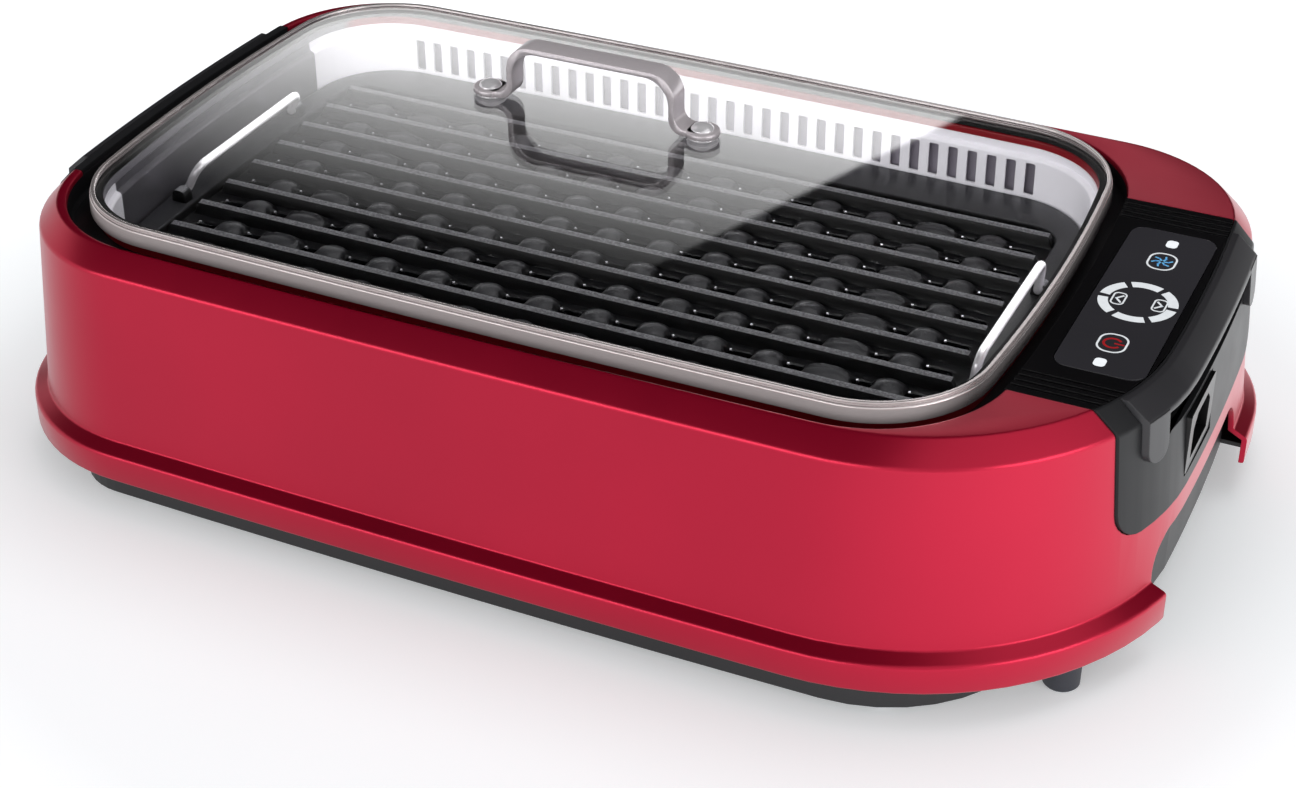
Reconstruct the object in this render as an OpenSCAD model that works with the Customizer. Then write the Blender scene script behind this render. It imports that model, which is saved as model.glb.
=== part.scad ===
// Electric indoor grill with a lift-off glass lid, in millimetres.
// Long axis on X with the touch panel at +X, the back at +Y, feet on z = 0.

/* [Housing] */
// Length of the black deck, from the well to the housing's right edge
panel_len = 57.5; // [54:0.5:70]
// Width of the deck at the left end, from the well to the housing's edge
deck_left = 12.5; // [12:0.5:20]
// Width of the deck along each long side, from the well to the housing's edge
deck_side = 10.5; // [10:0.5:20]
// Radius of the two corners at the left end
corner_left = 70; // [66:1:90]
// Half length of the nearly straight stretch at the panel end, before the front corner starts
corner_start = 31; // [27:1:53]
// Radius of the back corner at the panel end
corner_back = 75; // [64:1:110]
// Bulge of each end, measured over the full width
end_bow = 9; // [4:0.5:14]
// Bulge of each long side, measured over the full length
side_bow = 3; // [1:0.5:6]
// Height of the flat top deck above the table
deck_z = 124.5; // [122:0.5:132]
// Height that the sloping top edge takes below the deck
edge_drop = 9.5; // [6:0.5:12]
// Inward run of the sloping top edge
edge_in = 9; // [6:0.5:10]
// How far the walls spread from the upper edge down to the skirt
wall_flare = 6.5; // [3:0.5:9]
// Wall thickness of the housing
wall = 2.5; // [2:0.1:3.5]
// Height of the underside of the skirt
skirt_z = 16; // [14:0.5:20]
// Height of the outer face of the skirt
skirt_face = 13.5; // [10:0.5:18]
// Height of the sloping shoulder above the skirt face
skirt_slope = 3.5; // [2:0.5:6]
// How far the skirt stands out from the wall
skirt_out = 6.8; // [4:0.2:9]
// Half width of the arch under each end
arch_half = 64; // [50:1:66]
// Height of the arch under each end
arch_top = 52; // [46:1:58]

/* [Lid well and ring] */
// Distance from the housing's centre line to the lid's centre, towards the back
lid_back = 4; // [2:0.5:5]
// Gap between the lid's rim and the well at each end
rim_gap_end = 7.2; // [6:0.2:10]
// Gap between the lid's rim and the well at the back
rim_gap_back = 3.5; // [3:0.5:6]
// Width of the lip of the black ring under the deck
ring_lip = 2.2; // [1.5:0.1:3]
// Height of the gutter floor in the black ring
gutter_z = 112.5; // [110:0.5:114]
// Thickness of the gutter floor
gutter_wall = 2; // [1.5:0.1:2.5]
// Height of the top of the inner collar
collar_z = 120; // [118:0.5:121]
// Thickness of the inner collar
collar_wall = 3; // [2:0.1:3.2]

/* [Cooking chamber] */
// Distance from the lid's edge to the chamber wall at each end
chamber_in_end = 8.8; // [8.6:0.1:12]
// Distance from the lid's edge to the chamber wall along each side
chamber_in_side = 11; // [9:0.5:14]
// Thickness of the chamber's sheet metal
liner_wall = 1.2; // [0.8:0.1:1.6]
// Height of the top edge of the chamber wall
liner_top = 112; // [110.5:0.5:113]
// Height of the ledge that carries the plate
ledge_z = 84; // [80:0.5:86]
// Width of that ledge
ledge_w = 12; // [9:0.5:14]
// Height of the chamber's floor
liner_floor = 25; // [24:0.5:30]
// Distance from one air slot to the next
vent_pitch = 9.7; // [9:0.1:10]
// Width of an air slot
vent_w = 4.9; // [3:0.1:6]
// Height of an air slot
vent_h = 16.5; // [12:0.5:17]

/* [Plate] */
// Gap round the plate and the tray inside the chamber
fit_gap = 1.5; // [1:0.1:2]
// Thickness of the plate's border
plate_t = 8; // [6:0.5:9]
// Height of the plate floor below its border
floor_drop = 3.5; // [2:0.5:4]
// Height of the ridge tops above the border
ridge_up = 2.5; // [1:0.5:4]
// Width of a ridge at its top
ridge_w = 4.2; // [3:0.2:6]
// Distance from one ridge to the next
ridge_pitch = 22.8; // [20:0.2:24]
// Distance from the first dome or slot to the next along a row
dome_pitch = 27; // [24:0.5:30]
// Width of a dome
dome_w = 15; // [10:0.5:17]
// Length of a drain slot
drain_len = 13; // [8:0.5:15]
// Width of a drain slot
drain_w = 4.4; // [3:0.2:6]
// How far the rim under the plate reaches below its border
plate_lip = 3; // [1:0.5:4]
// Diameter of the wire of the plate handles
wire_d = 4; // [3:0.5:5]
// Length of a plate handle between its pivots
wire_span = 90; // [70:1:110]
// Height of a plate handle above its pivots
wire_h = 17; // [12:1:20]
// Inward lean of the left plate handle
lean_left = 28; // [0:1:60]
// Inward lean of the right plate handle
lean_right = -6; // [-20:1:60]
// Distance of the right plate handle from the plate's centre line, towards the front
wire_front = 14; // [0:1:20]
// Diameter of the heating tube
heater_d = 7; // [6:0.5:8]
// Distance between the heating tube's runs
heater_pitch = 44; // [36:1:50]

/* [Drip tray] */
// Gap between the tray and the chamber's lower wall at each end
tray_gap_end = 24; // [22:1:40]
// Gap between the tray and the chamber's lower wall along each side
tray_gap_side = 16; // [10:1:30]
// Distance from the chamber's centre to the tray's centre, towards the left
tray_left = 6; // [4:1:8]
// Depth of the tray
tray_h = 28; // [20:1:34]
// Wall thickness of the tray
tray_wall = 1.2; // [1:0.1:2]

/* [Lid] */
// Length of the lid over its steel rim
lid_len = 433.6; // [431:0.2:435]
// Width of the lid over its steel rim
lid_wid = 270; // [268:0.5:271]
// Corner radius of the lid
lid_corner = 54; // [50:1:58]
// Height of the underside of the rim band
band_z = 118.8; // [116:0.2:120]
// Height of the rim band
band_h = 9.2; // [8:0.2:12]
// Sheet thickness of the rim
rim_t = 1.2; // [0.8:0.1:1.6]
// Width of the rim's upper lip
lip_top = 3; // [2:0.2:5]
// Width of the rim's lower flange
lip_low = 9.5; // [6:0.5:12]
// Thickness of the glass
glass_t = 4; // [3:0.2:5]
// Distance between the two rivets of the lid handle
handle_span = 112; // [96:1:140]
// Height of the lid handle above the glass
handle_h = 32; // [24:1:40]
// Width of the handle's steel strap
strap_w = 15; // [10:0.5:18]
// Thickness of the handle's steel strap
strap_t = 3; // [2:0.2:4]
// Distance from the lid's centre to the handle, towards the left
handle_left = 31; // [0:1:40]
// Distance from the lid's centre to the handle, towards the back
handle_back = 55; // [0:1:60]

/* [End covers and panel] */
// Half width of the end covers and of the black deck
cover_half = 88; // [76:1:90]
// Height of the underside of the end covers
cover_z = 64; // [60:1:70]
// Radius of the lower corners of the end covers
cover_round = 14; // [8:1:20]
// How far the end covers stand proud of the housing
cover_out = 1; // [0.5:0.1:1.5]
// Half length of the finger gap under each grip
gap_half = 62; // [50:1:66]
// Height of the finger gap
gap_h = 12; // [10:0.5:14]
// Depth of the finger pocket
gap_depth = 19; // [14:1:22]
// Height of the deep part of the left finger pocket, under the black ring
gap_low = 6.5; // [5:0.5:7]
// Height of the grip bar
grip_h = 11; // [9:0.5:13]
// How far the grip bar stands out from the cover
grip_out = 3; // [2:0.5:5]
// Width of the rounded tongues at the ends of the grip bar
tongue_w = 14; // [10:1:18]
// Length of those tongues below the grip bar
tongue_h = 16; // [10:1:20]
// Width of the touch glass across the panel
glass_w = 38; // [30:1:39]
// Length of the touch glass along the panel
glass_l = 126; // [100:1:130]
// Radius of the ring of light bars on the panel
dial_r = 16; // [12:0.5:18]

/* [Power inlet] */
// Width of the inlet's opening for the plug
inlet_w = 27; // [24:0.5:30]
// Height of the inlet's opening for the plug
inlet_h = 19.5; // [18:0.5:21]
// Depth of the inlet's opening
inlet_deep = 18; // [14:1:20]
// Distance from the housing's centre line to the inlet, towards the front
inlet_front = 17; // [0:1:30]

/* [Fan] */
// Diameter of the blower wheel
wheel_d = 23; // [18:0.5:23]
// Length of the blower wheel
wheel_len = 280; // [200:5:290]
// Number of blades on the wheel
blade_count = 18; // [10:1:24]
// Diameter of the wheel's shaft
shaft_d = 4; // [3:0.5:5]

/* [Base] */
// Diameter of a foot
foot_d = 16; // [12:1:17]
// Distance from the feet to the ends of the housing
foot_in = 22.5; // [22:0.5:40]
// Distance from the feet to the long sides of the housing
foot_side = 51.5; // [51:0.5:70]
// Height of the base pan's underside
pan_z = 5.5; // [5:0.5:10]
// Thickness of the base pan
pan_wall = 2.2; // [1.8:0.1:3]

/* [Hidden] */
$fn = 48;
red = [0.72, 0.08, 0.16];
black = [0.11, 0.11, 0.12];
grey = [0.32, 0.32, 0.33];
silver = [0.82, 0.82, 0.84];
far = 400;
clear = 0.3;
ring_in = 3.2;
a_lid = lid_len / 2;
b_lid = lid_wid / 2;
a_well = a_lid + rim_gap_end;
b_well = b_lid + lid_back + rim_gap_back;
a_body = a_well + (deck_left + panel_len) / 2;
b_body = b_well + deck_side;
corner_right = b_body - corner_start;
mid_x = deck_left + a_well - a_body;
a_cham = a_lid - chamber_in_end;
b_cham = b_lid - chamber_in_side;
foot_x = a_body - foot_in;
foot_y = b_body - foot_side;
edge_z = deck_z - edge_drop;
skirt_top = skirt_z + skirt_face;
join_z = skirt_top + skirt_slope;
deck_under = deck_z - wall;
lid_top = band_z + band_h;
glass_z = lid_top - rim_t - glass_t;
flange_z = glass_z - rim_t;
vent_count = floor((2 * a_cham - 76) / vent_pitch);
ridge_count = floor((2 * b_cham - 38) / ridge_pitch);
plate_top = ledge_z + clear + plate_t;
plate_floor = plate_top - floor_drop;
plate_under = ledge_z + clear - plate_lip;
ridge_mid = lid_back - 6;
plate_z0 = ledge_z + clear;
ridge_top = plate_top + ridge_up;
vent_z = plate_top + 0.7;
heater_z = plate_under - heater_d / 2;
tray_z = liner_floor + 2;
pan_flange = 19;
gap_z = deck_z - grip_h - gap_h;
wheel_y = b_body - 15.5;
wheel_z = 62;
motor_len = 26;
motor_gap = 10.5;
motor_end = a_body - 104.5;
wheel_x = motor_end - motor_len - 3 - motor_gap - wheel_len / 2;
board_t = 1.6;
board_z = deck_under - 6;
pan_top = pan_z + pan_wall;
end_in = -1.3;
inlet_z = gap_z - 17;
lens_x = a_body - 32;
board_x = a_body - 50;
lens_y = 1.5;
pin_at = [[-7, -3], [7, -3], [0, 3]];
pin_x = a_cham + mid_x - ledge_w - 10;
pin_y = 1.5 * heater_pitch;
grille_x = 120;
ridge_y0 = ridge_mid - (ridge_count - 1) * ridge_pitch / 2;
ridge_half = a_cham - 20;
floor_wid = ridge_count * ridge_pitch;
dome_count = floor((2 * ridge_half - 10) / dome_pitch) + 1;
hx = mid_x - handle_left;
hy = lid_back + handle_back;

// Outline helpers: an oblong with bowed sides and a round at each corner.
function arc_pts(c, r, a0, a1, n) = [for (i = [0 : n]) c + r * [cos(a0 + (a1 - a0) * i / n),
    sin(a0 + (a1 - a0) * i / n)]];
function tail(l) = [for (i = [1 : len(l) - 1]) l[i]];
function drop_last(l) = [for (i = [0 : len(l) - 2]) l[i]];
function rev(l) = [for (i = [len(l) - 1 : -1 : 0]) l[i]];
function flip(l, sx, sy) = [for (p = l) [p.x * sx, p.y * sy]];
function quarter(a, b, r, ex, ey, d) =
    let (rx = (b * b + ex * ex) / (2 * ex), ry = (a * a + ey * ey) / (2 * ey),
        c1 = [0, b - ry], c2 = [a - rx, 0], gap = norm(c2 - c1), e = (c2 - c1) / gap,
        r1 = ry - r, r2 = rx - r, t = (r1 * r1 - r2 * r2 + gap * gap) / (2 * gap),
        h = sqrt(r1 * r1 - t * t), k = c1 + e * t + h * [e.y, -e.x],
        a2 = atan2(k.y - c2.y, k.x - c2.x), a1 = atan2(k.y - c1.y, k.x - c1.x))
    concat(arc_pts(c2, rx + d, 0, a2, 3), tail(arc_pts(k, r + d, a2, a1, 9)),
        tail(arc_pts(c1, ry + d, a1, 90, 4)));
function oblong(a, b, rl, rr, ex, ey, d, rb = 0) =
    let (q = quarter(a, b, rr, ex, ey, d), p = quarter(a, b, rl, ex, ey, d),
        back = quarter(a, b, rb > 0 ? rb : rr, ex, ey, d))
    concat(back, tail(rev(flip(p, -1, 1))), tail(flip(p, -1, -1)), drop_last(tail(rev(flip(q, 1, -1)))));
function shift(l, v) = [for (p = l) p + v];
function body_line(d) = oblong(a_body, b_body, corner_left, corner_right, end_bow, side_bow, d,
    corner_back);
function well_line(d) = shift(oblong(a_well, b_well, lid_corner + 8, lid_corner + 8, end_bow, side_bow, d),
    [mid_x, 0]);
function lid_line(d) = shift(oblong(a_lid, b_lid, lid_corner, lid_corner, end_bow, side_bow, d),
    [mid_x, lid_back]);
function chamber_line(d) = shift(oblong(a_cham, b_cham, lid_corner - 12, lid_corner - 12, end_bow,
    side_bow, d), [mid_x, lid_back]);
function tray_line(d) = shift(oblong(a_cham - ledge_w - tray_gap_end, b_cham - ledge_w - tray_gap_side,
    30, 30, 3, 3, d), [mid_x - tray_left, lid_back]);
function tub_line(d) = oblong(a_body - 33.5, b_body + 8, 30, corner_right - 50, 8, 3, d);
function round_box(w, h, r) = concat(arc_pts([w / 2 - r, h / 2 - r], r, 0, 90, 6),
    arc_pts([r - w / 2, h / 2 - r], r, 90, 180, 6), arc_pts([r - w / 2, r - h / 2], r, 180, 270, 6),
    arc_pts([w / 2 - r, r - h / 2], r, 270, 360, 6));

// A prism over an outline, a frame between two outlines, and a skin through several outlines.
module prism(line, z0, z1) translate([0, 0, z0]) linear_extrude(z1 - z0) polygon(line);
module frame(outer, inner, z0, z1) translate([0, 0, z0]) linear_extrude(z1 - z0) difference() {
    polygon(outer);
    polygon(inner);
}
module loft(rings) {
    n = len(rings[0][0]);
    pts = [for (s = rings) for (p = s[0]) [p.x, p.y, s[1]]];
    top = (len(rings) - 1) * n;
    sides = [for (k = [0 : len(rings) - 2]) for (i = [0 : n - 1]) let (j = (i + 1) % n)
        [k * n + i, k * n + n + i, k * n + n + j, k * n + j]];
    polyhedron(pts, concat([[for (i = [0 : n - 1]) i]], sides, [[for (i = [n - 1 : -1 : 0]) top + i]]),
        convexity = 6);
}
// A prism that runs along X over an outline in Y and Z.
module along_x(line, x0, x1) translate([x0, 0, 0]) rotate([90, 0, 90]) linear_extrude(x1 - x0)
    polygon(line);
module at_end(side) mirror([side < 0 ? 1 : 0, 0, 0]) children();

// The housing's outer faces, moved outwards by d, and its inner faces.
module outer_block(d) loft([[body_line(wall_flare + skirt_out + d), skirt_z],
    [body_line(wall_flare + skirt_out + d), skirt_top], [body_line(wall_flare + d), join_z],
    [body_line(d), edge_z], [body_line(d - edge_in), deck_z]]);
module inner_block(t) loft([[body_line(wall_flare + skirt_out - t), skirt_z - 1],
    [body_line(wall_flare + skirt_out - t), skirt_top - t / 2], [body_line(wall_flare - t), join_z - t / 2],
    [body_line(-t), edge_z - t / 2], [body_line(-edge_in - t / 5), deck_z - t]]);
module upper_block(d, z_top) loft([[body_line(wall_flare + d), join_z],
    [body_line(d), edge_z - (deck_z - z_top) / 2], [body_line(d - edge_in), z_top]]);
module upper_inner(t) loft([[body_line(wall_flare - t), join_z - 1], [body_line(-t), edge_z - t / 2],
    [body_line(-edge_in - t / 2), deck_z - t]]);
function cover_face(m) = concat([[cover_half + m, deck_z + 5], [-cover_half - m, deck_z + 5]],
    arc_pts([cover_round - cover_half, cover_z + cover_round], cover_round + m, 180, 270, 6),
    arc_pts([cover_half - cover_round, cover_z + cover_round], cover_round + m, 270, 360, 6));
module arch_cut(side) at_end(side) along_x(concat([[arch_half, skirt_z - 5]],
    arc_pts([arch_half - 18, arch_top - 18], 18, 0, 90, 6),
    arc_pts([18 - arch_half, arch_top - 18], 18, 90, 180, 6), [[-arch_half, skirt_z - 5]]),
    a_body - 40, a_body + 40);
function grille_face(m) = [[-grille_x - m, 44 - m], [grille_x + m, 44 - m], [grille_x + m, 86 + m],
    [-grille_x - m, 86 + m]];
module behind(line) translate([wheel_x, b_body + 40, 0]) rotate([90, 0, 0]) linear_extrude(80)
    polygon(line);
boss_at = [[84 - a_body, 1], [a_body - 84, 1], [84 - a_body, -1], [0, -1], [a_body - 84, -1]];
boss_h = 34;
function boss_y(x) = b_body - side_bow * pow(x / a_body, 2) - 2.6
    - pow(max(0, x - a_body + corner_right), 2) / 400;

module outer_housing() color(red) {
    difference() {
        outer_block(0);
        inner_block(wall);
        prism(well_line(0), deck_z - 30, deck_z + 1);
        for (side = [-1, 1]) {
            arch_cut(side);
            at_end(side) along_x(cover_face(clear), a_body - 62, a_body + 40);
        }
        behind(grille_face(clear));
    }
    for (b = boss_at) mirror([0, b.y < 0 ? 1 : 0, 0]) {
        difference() {
            translate([b.x, boss_y(b.x), pan_top]) cylinder(h = boss_h, r = 5);
            translate([b.x, boss_y(b.x), pan_z]) cylinder(h = boss_h - 10, r = 1.6);
        }
        intersection() {
            translate([b.x - 1.5, boss_y(b.x), join_z + 1]) cube([3, 20, pan_top + boss_h - join_z - 1]);
            inner_block(wall / 2);
        }
    }
}

// Base: a shallow pan with a flange that closes the housing from below.
module base_pan() color([0.2, 0.2, 0.21]) difference() {
    union() {
        difference() {
            prism(body_line(wall_flare + skirt_out - wall - clear), pan_flange, pan_flange + pan_wall);
            for (side = [-1, 1]) at_end(side) difference() {
                translate([a_body - 40, -arch_half - 8, pan_flange - 1])
                    cube([80, 2 * arch_half + 16, pan_wall + 2]);
                prism(body_line(end_in + pan_wall), 0, 90);
            }
        }
        prism(tub_line(0), pan_z, pan_flange + 1);
        for (side = [-1, 1]) at_end(side) intersection() {
            frame(body_line(end_in + pan_wall), body_line(end_in), pan_flange, arch_top + 8);
            translate([a_body - 60, -arch_half - 8, 0]) cube([100, 2 * arch_half + 16, arch_top + 8]);
        }
    }
    prism(tub_line(-pan_wall), pan_top, pan_flange + pan_wall + 1);
    for (b = boss_at) translate([b.x, b.y * boss_y(b.x), pan_z - 1]) cylinder(h = 30, r = 1.8);
    for (x = [-foot_x, foot_x]) for (y = [-foot_y, foot_y]) translate([x, y, 0]) cylinder(h = 40, r = 1.6);
    for (i = [-6 : 6]) for (s = [-1, 1]) translate([i * 24 - 7, s * (b_body - 33) - 1.5, pan_z - 1])
        cube([14, 3, 6]);
}
module feet() color([0.2, 0.2, 0.25]) for (x = [-foot_x, foot_x]) for (y = [-foot_y, foot_y])
    translate([x, y, 0]) rotate_extrude() polygon([[1.8, 4.6], [4.4, 4.6], [4.4, 0], [foot_d / 2 - 1, 0],
        [foot_d / 2 - 0.2, 0.9], [foot_d / 2 + 0.2, pan_flange], [1.8, pan_flange]]);
module foot_screws() color("silver") for (x = [-foot_x, foot_x]) for (y = [-foot_y, foot_y])
    translate([x, y, 2.2]) {
        cylinder(h = 2.4, r = 3.6);
        cylinder(h = pan_flange + pan_wall + 3, r = 1.5);
    }
module case_screws() color("silver") for (b = boss_at) translate([b.x, b.y * boss_y(b.x), pan_z]) {
    translate([0, 0, -2]) cylinder(h = 2, r = 3.6);
    translate([0, 0, -1]) cylinder(h = 20, r = 1.5);
}

// The black ring under the deck, and the red collar inside it that carries the lid.
module bezel_ring() color(black) {
    difference() {
        loft([[well_line(ring_lip), gutter_z - gutter_wall], [well_line(ring_lip), deck_under - 2.5],
            [well_line(ring_lip / 3), deck_under]]);
        prism(well_line(0), gutter_z, deck_under + 1);
        prism(chamber_line(ring_in), gutter_z - gutter_wall - 1, gutter_z + 1);
    }
}
module lid_collar() color(red)
    frame(chamber_line(ring_in + collar_wall), chamber_line(ring_in), gutter_z, collar_z);

function vent_x(i) = mid_x + (i - (vent_count - 1) / 2) * vent_pitch;

// The cooking chamber: an upper wall with air slots at the back, over a deep tub with a ledge round it.
module inner_liner() color(silver) difference() {
    union() {
        prism(chamber_line(ring_in), liner_top - liner_wall, liner_top);
        prism(chamber_line(liner_wall), ledge_z, liner_top);
    }
    prism(chamber_line(0), ledge_z - 1, liner_top + 1);
    for (i = [0 : vent_count - 1]) translate([vent_x(i) - vent_w / 2, lid_back + b_cham - 8, vent_z])
        cube([vent_w, 16, vent_h]);
}
module lower_tub() color(silver) difference() {
    union() {
        prism(chamber_line(liner_wall), ledge_z - liner_wall, ledge_z);
        prism(chamber_line(liner_wall - ledge_w), liner_floor - liner_wall, ledge_z);
    }
    prism(chamber_line(-ledge_w), liner_floor, ledge_z + 1);
}
module heat_shield() color([0.7, 0.7, 0.72])
    frame(chamber_line(4 - ledge_w), chamber_line(3.2 - ledge_w), pan_top, ledge_z - liner_wall - 4);

// The cross-flow blower behind the slots.
module blower_housing() color([0.25, 0.25, 0.27]) {
    for (x = [-110, 0, 110]) translate([wheel_x + x - 6, wheel_y - 7, pan_top])
        cube([12, 14, wheel_z - pan_top - wheel_d / 2 - 1.6]);
    translate([wheel_x, wheel_y, wheel_z]) rotate([0, 90, 0]) difference() {
        cylinder(h = wheel_len + 6, d = wheel_d + 5, center = true);
        cylinder(h = wheel_len + 2, d = wheel_d + 2.4, center = true);
        translate([-30, -3, -wheel_len / 2 - 1]) cube([30, 9, wheel_len + 2]);
        translate([3, 4, -wheel_len / 2 - 1]) cube([8, 30, wheel_len + 2]);
        cylinder(h = wheel_len + 20, d = shaft_d + 3.4, center = true);
    }
}
module wheel_bearings() color("goldenrod") for (s = [-1, 1])
    translate([wheel_x + s * (wheel_len / 2 + 2), wheel_y, wheel_z]) rotate([0, 90, 0]) difference() {
        cylinder(h = 2, d = shaft_d + 3.4, center = true);
        cylinder(h = 3, d = shaft_d + 0.6, center = true);
    }
module blower_wheel() color([0.75, 0.76, 0.78]) translate([wheel_x, wheel_y, wheel_z]) rotate([0, 90, 0]) {
    for (z = [-wheel_len / 2 + 1, 0, wheel_len / 2 - 1]) translate([0, 0, z]) difference() {
        cylinder(h = 1.2, d = wheel_d, center = true);
        cylinder(h = 2, d = shaft_d, center = true);
    }
    for (i = [0 : blade_count - 1]) rotate(i * 360 / blade_count) translate([wheel_d / 2 - 1.9, 0, 0])
        rotate(35) cube([3.2, 0.8, wheel_len - 2], center = true);
}
module wheel_shaft() color("lightgrey") translate([wheel_x, wheel_y, wheel_z]) rotate([0, 90, 0])
    translate([0, 0, -wheel_len / 2 - 6]) cylinder(h = wheel_len + 22, d = shaft_d);
module blower_motor() color([0.4, 0.4, 0.42])
    translate([wheel_x + wheel_len / 2 + motor_gap, wheel_y, wheel_z]) rotate([0, 90, 0]) {
        translate([9, -7, 6]) cube([wheel_z - pan_top - 9, 14, 14]);
        difference() {
            cylinder(h = motor_len, d = wheel_d + 3);
            translate([0, 0, -1]) cylinder(h = 12, d = shaft_d + 1);
        }
        translate([-4, -10, motor_len]) cube([8, 20, 3]);
    }
module rear_grille() color(black) difference() {
    intersection() {
        difference() {
            upper_block(0, deck_z);
            inner_block(wall);
        }
        behind(grille_face(0));
    }
    for (k = [0 : 4]) for (s = [-1, 0, 1]) translate([wheel_x + s * 78 - 34, b_body - 10, 49 + k * 7])
        cube([68, 30, 3.5]);
}

// The black deck with its ribs, the touch glass and the lights under it.
module control_deck() color(black) difference() {
    intersection() {
        prism(body_line(-edge_in - clear), deck_under, deck_z);
        translate([a_body - 62 + clear, -cover_half, 0]) cube([100, 2 * cover_half, far]);
    }
    prism(well_line(0), 0, far);
    prism(shift(round_box(glass_w + 0.6, glass_l + 0.6, 7), [lens_x, lens_y]), deck_z - 1.6, deck_z + 5);
    translate([lens_x - glass_w / 2 + 3, lens_y - glass_l / 2 + 3, 0]) cube([glass_w - 6, glass_l - 6, far]);
    for (s = [-1, 1]) for (k = [0 : 3])
        translate([a_body - 70, s * (cover_half - 4.5 - k * 4) - 0.9, deck_z - 0.9]) cube([90, 1.8, 5]);
}
module touch_glass() color([0.06, 0.06, 0.07])
    prism(shift(round_box(glass_w, glass_l, 6.7), [lens_x, lens_y]), deck_z - 1.6, deck_z + 0.4);
module light_bars() color("white") {
    for (i = [0 : 5]) translate([lens_x, lens_y, deck_z - 4]) rotate(i * 60 + 8)
        rotate_extrude(angle = 44) translate([dial_r - 4.5, 0]) square([4.5, 2.4]);
    for (y = [53, -53]) translate([lens_x - 2.5, lens_y + y - 2, deck_z - 4]) cube([5, 4, 2.4]);
}
module control_board() color([0.1, 0.35, 0.2])
    translate([lens_x - glass_w / 2, lens_y - glass_l / 2 - 3, board_z])
        cube([glass_w - 2, glass_l + 6, board_t]);
module board_parts() color([0.15, 0.15, 0.16]) {
    translate([lens_x - 6, lens_y - 27, board_z + board_t]) cube([12, 12, 2]);
    for (p = [[0, -37], [0, 37], [-8, 0], [8, 0]]) translate([lens_x + p.x, lens_y + p.y, board_z + board_t])
        cylinder(h = deck_z - 2 - board_z - board_t, d = p.x == 0 ? 9 : 5);
    translate([lens_x - 14, lens_y - 60, board_z - 7]) cube([16, 20, 7]);
}
module power_board() color([0.1, 0.35, 0.2]) translate([board_x, -62, pan_top + 18])
    cube([board_t, 124, 62]);
module power_parts() color([0.2, 0.3, 0.6]) {
    translate([board_x + board_t, -52, 40]) cube([15, 19, 16]);
    translate([board_x + board_t, 22, 40]) cube([16, 28, 22]);
    translate([board_x + board_t, 4, 42]) rotate([0, 90, 0]) cylinder(h = 14, d = 12);
    translate([board_x + board_t, 4, 62]) rotate([0, 90, 0]) cylinder(h = 14, d = 12);
    for (y = [-40, 32]) translate([board_x - 2, y, pan_top]) cube([6, 8, 18]);
}

// End covers: each follows the housing's slope and wall, with a finger pocket and a grip bar.
module cover_skin(side) difference() {
    intersection() {
        upper_block(cover_out, deck_z);
        translate([0, 0, 1]) at_end(side) along_x(cover_face(0), a_body - 40, a_body + 30);
    }
    upper_inner(wall);
}
module finger_pocket(side, low) {
    x0 = a_body - gap_depth;
    x1 = a_body - (low < gap_h ? 8 : gap_depth);
    intersection() {
        upper_block(cover_out - 1, deck_z);
        at_end(side) difference() {
            union() {
                translate([x0 - 2, -gap_half - 2, gap_z - 2]) cube([40, 2 * gap_half + 4, low + 4]);
                translate([x1 - 2, -gap_half - 2, gap_z - 2]) cube([40, 2 * gap_half + 4, gap_h + 4]);
            }
            translate([x0, -gap_half, gap_z]) cube([60, 2 * gap_half, low]);
            translate([x1, -gap_half, gap_z]) cube([60, 2 * gap_half, gap_h]);
        }
    }
}
module end_cover(side, low) {
    difference() {
        cover_skin(side);
        at_end(side) along_x(shift(round_box(2 * gap_half, gap_h, gap_h / 2 - 0.1), [0, gap_z + gap_h / 2]),
            a_body - 20, a_body + 30);
        children();
    }
    finger_pocket(side, low);
}
module grip_bar(side) difference() {
    intersection() {
        upper_block(cover_out + grip_out, deck_z + 0.6);
        at_end(side) along_x(concat([[gap_half + tongue_w, deck_z + 9], [-gap_half - tongue_w, deck_z + 9]],
            arc_pts([-gap_half - tongue_w / 2, gap_z - tongue_h + 22], tongue_w / 2, 180, 360, 8),
            [[-gap_half, gap_z + gap_h], [gap_half, gap_z + gap_h]],
            arc_pts([gap_half + tongue_w / 2, gap_z - tongue_h + 22], tongue_w / 2, 180, 360, 8)),
            a_body - 40, a_body + 30);
    }
    upper_block(cover_out, deck_z);
    prism(body_line(cover_out - edge_in), edge_z, deck_z + 5);
}
module right_end_cover() color(grey) difference() {
    end_cover(1, gap_h) translate([a_body - 30, -inlet_front - inlet_w / 2 - 7, inlet_z - inlet_h / 2 - 5])
        cube([60, inlet_w + 14, inlet_h + 10]);
    prism(body_line(-edge_in), deck_under - 1, deck_z + 1);
}
module left_end_cover() color(grey) difference() {
    end_cover(-1, gap_low);
    prism(well_line(0), deck_under - 1, deck_z + 1);
    prism(well_line(ring_lip + clear), gutter_z - gutter_wall - clear, deck_under);
}
module right_grip() color([0.36, 0.36, 0.37]) grip_bar(1);
module left_grip() color([0.36, 0.36, 0.37]) grip_bar(-1);
module power_inlet() color(black) translate([a_body + 2, -inlet_front, inlet_z]) difference() {
    union() {
        along_x(round_box(inlet_w + 13.4, inlet_h + 9.4, 2), -4, 2);
        along_x(round_box(inlet_w + 5, inlet_h + 5, 3), -inlet_deep - 6, -4);
    }
    along_x([[-inlet_w / 2, -inlet_h / 2], [inlet_w / 2, -inlet_h / 2], [inlet_w / 2, inlet_h / 2 - 5],
        [inlet_w / 2 - 5, inlet_h / 2], [5 - inlet_w / 2, inlet_h / 2], [-inlet_w / 2, inlet_h / 2 - 5]],
        -inlet_deep, 5);
    for (p = pin_at) translate([-inlet_deep - 7, p.x, p.y]) rotate([0, 90, 0]) cylinder(h = 8, d = 3);
}
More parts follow.
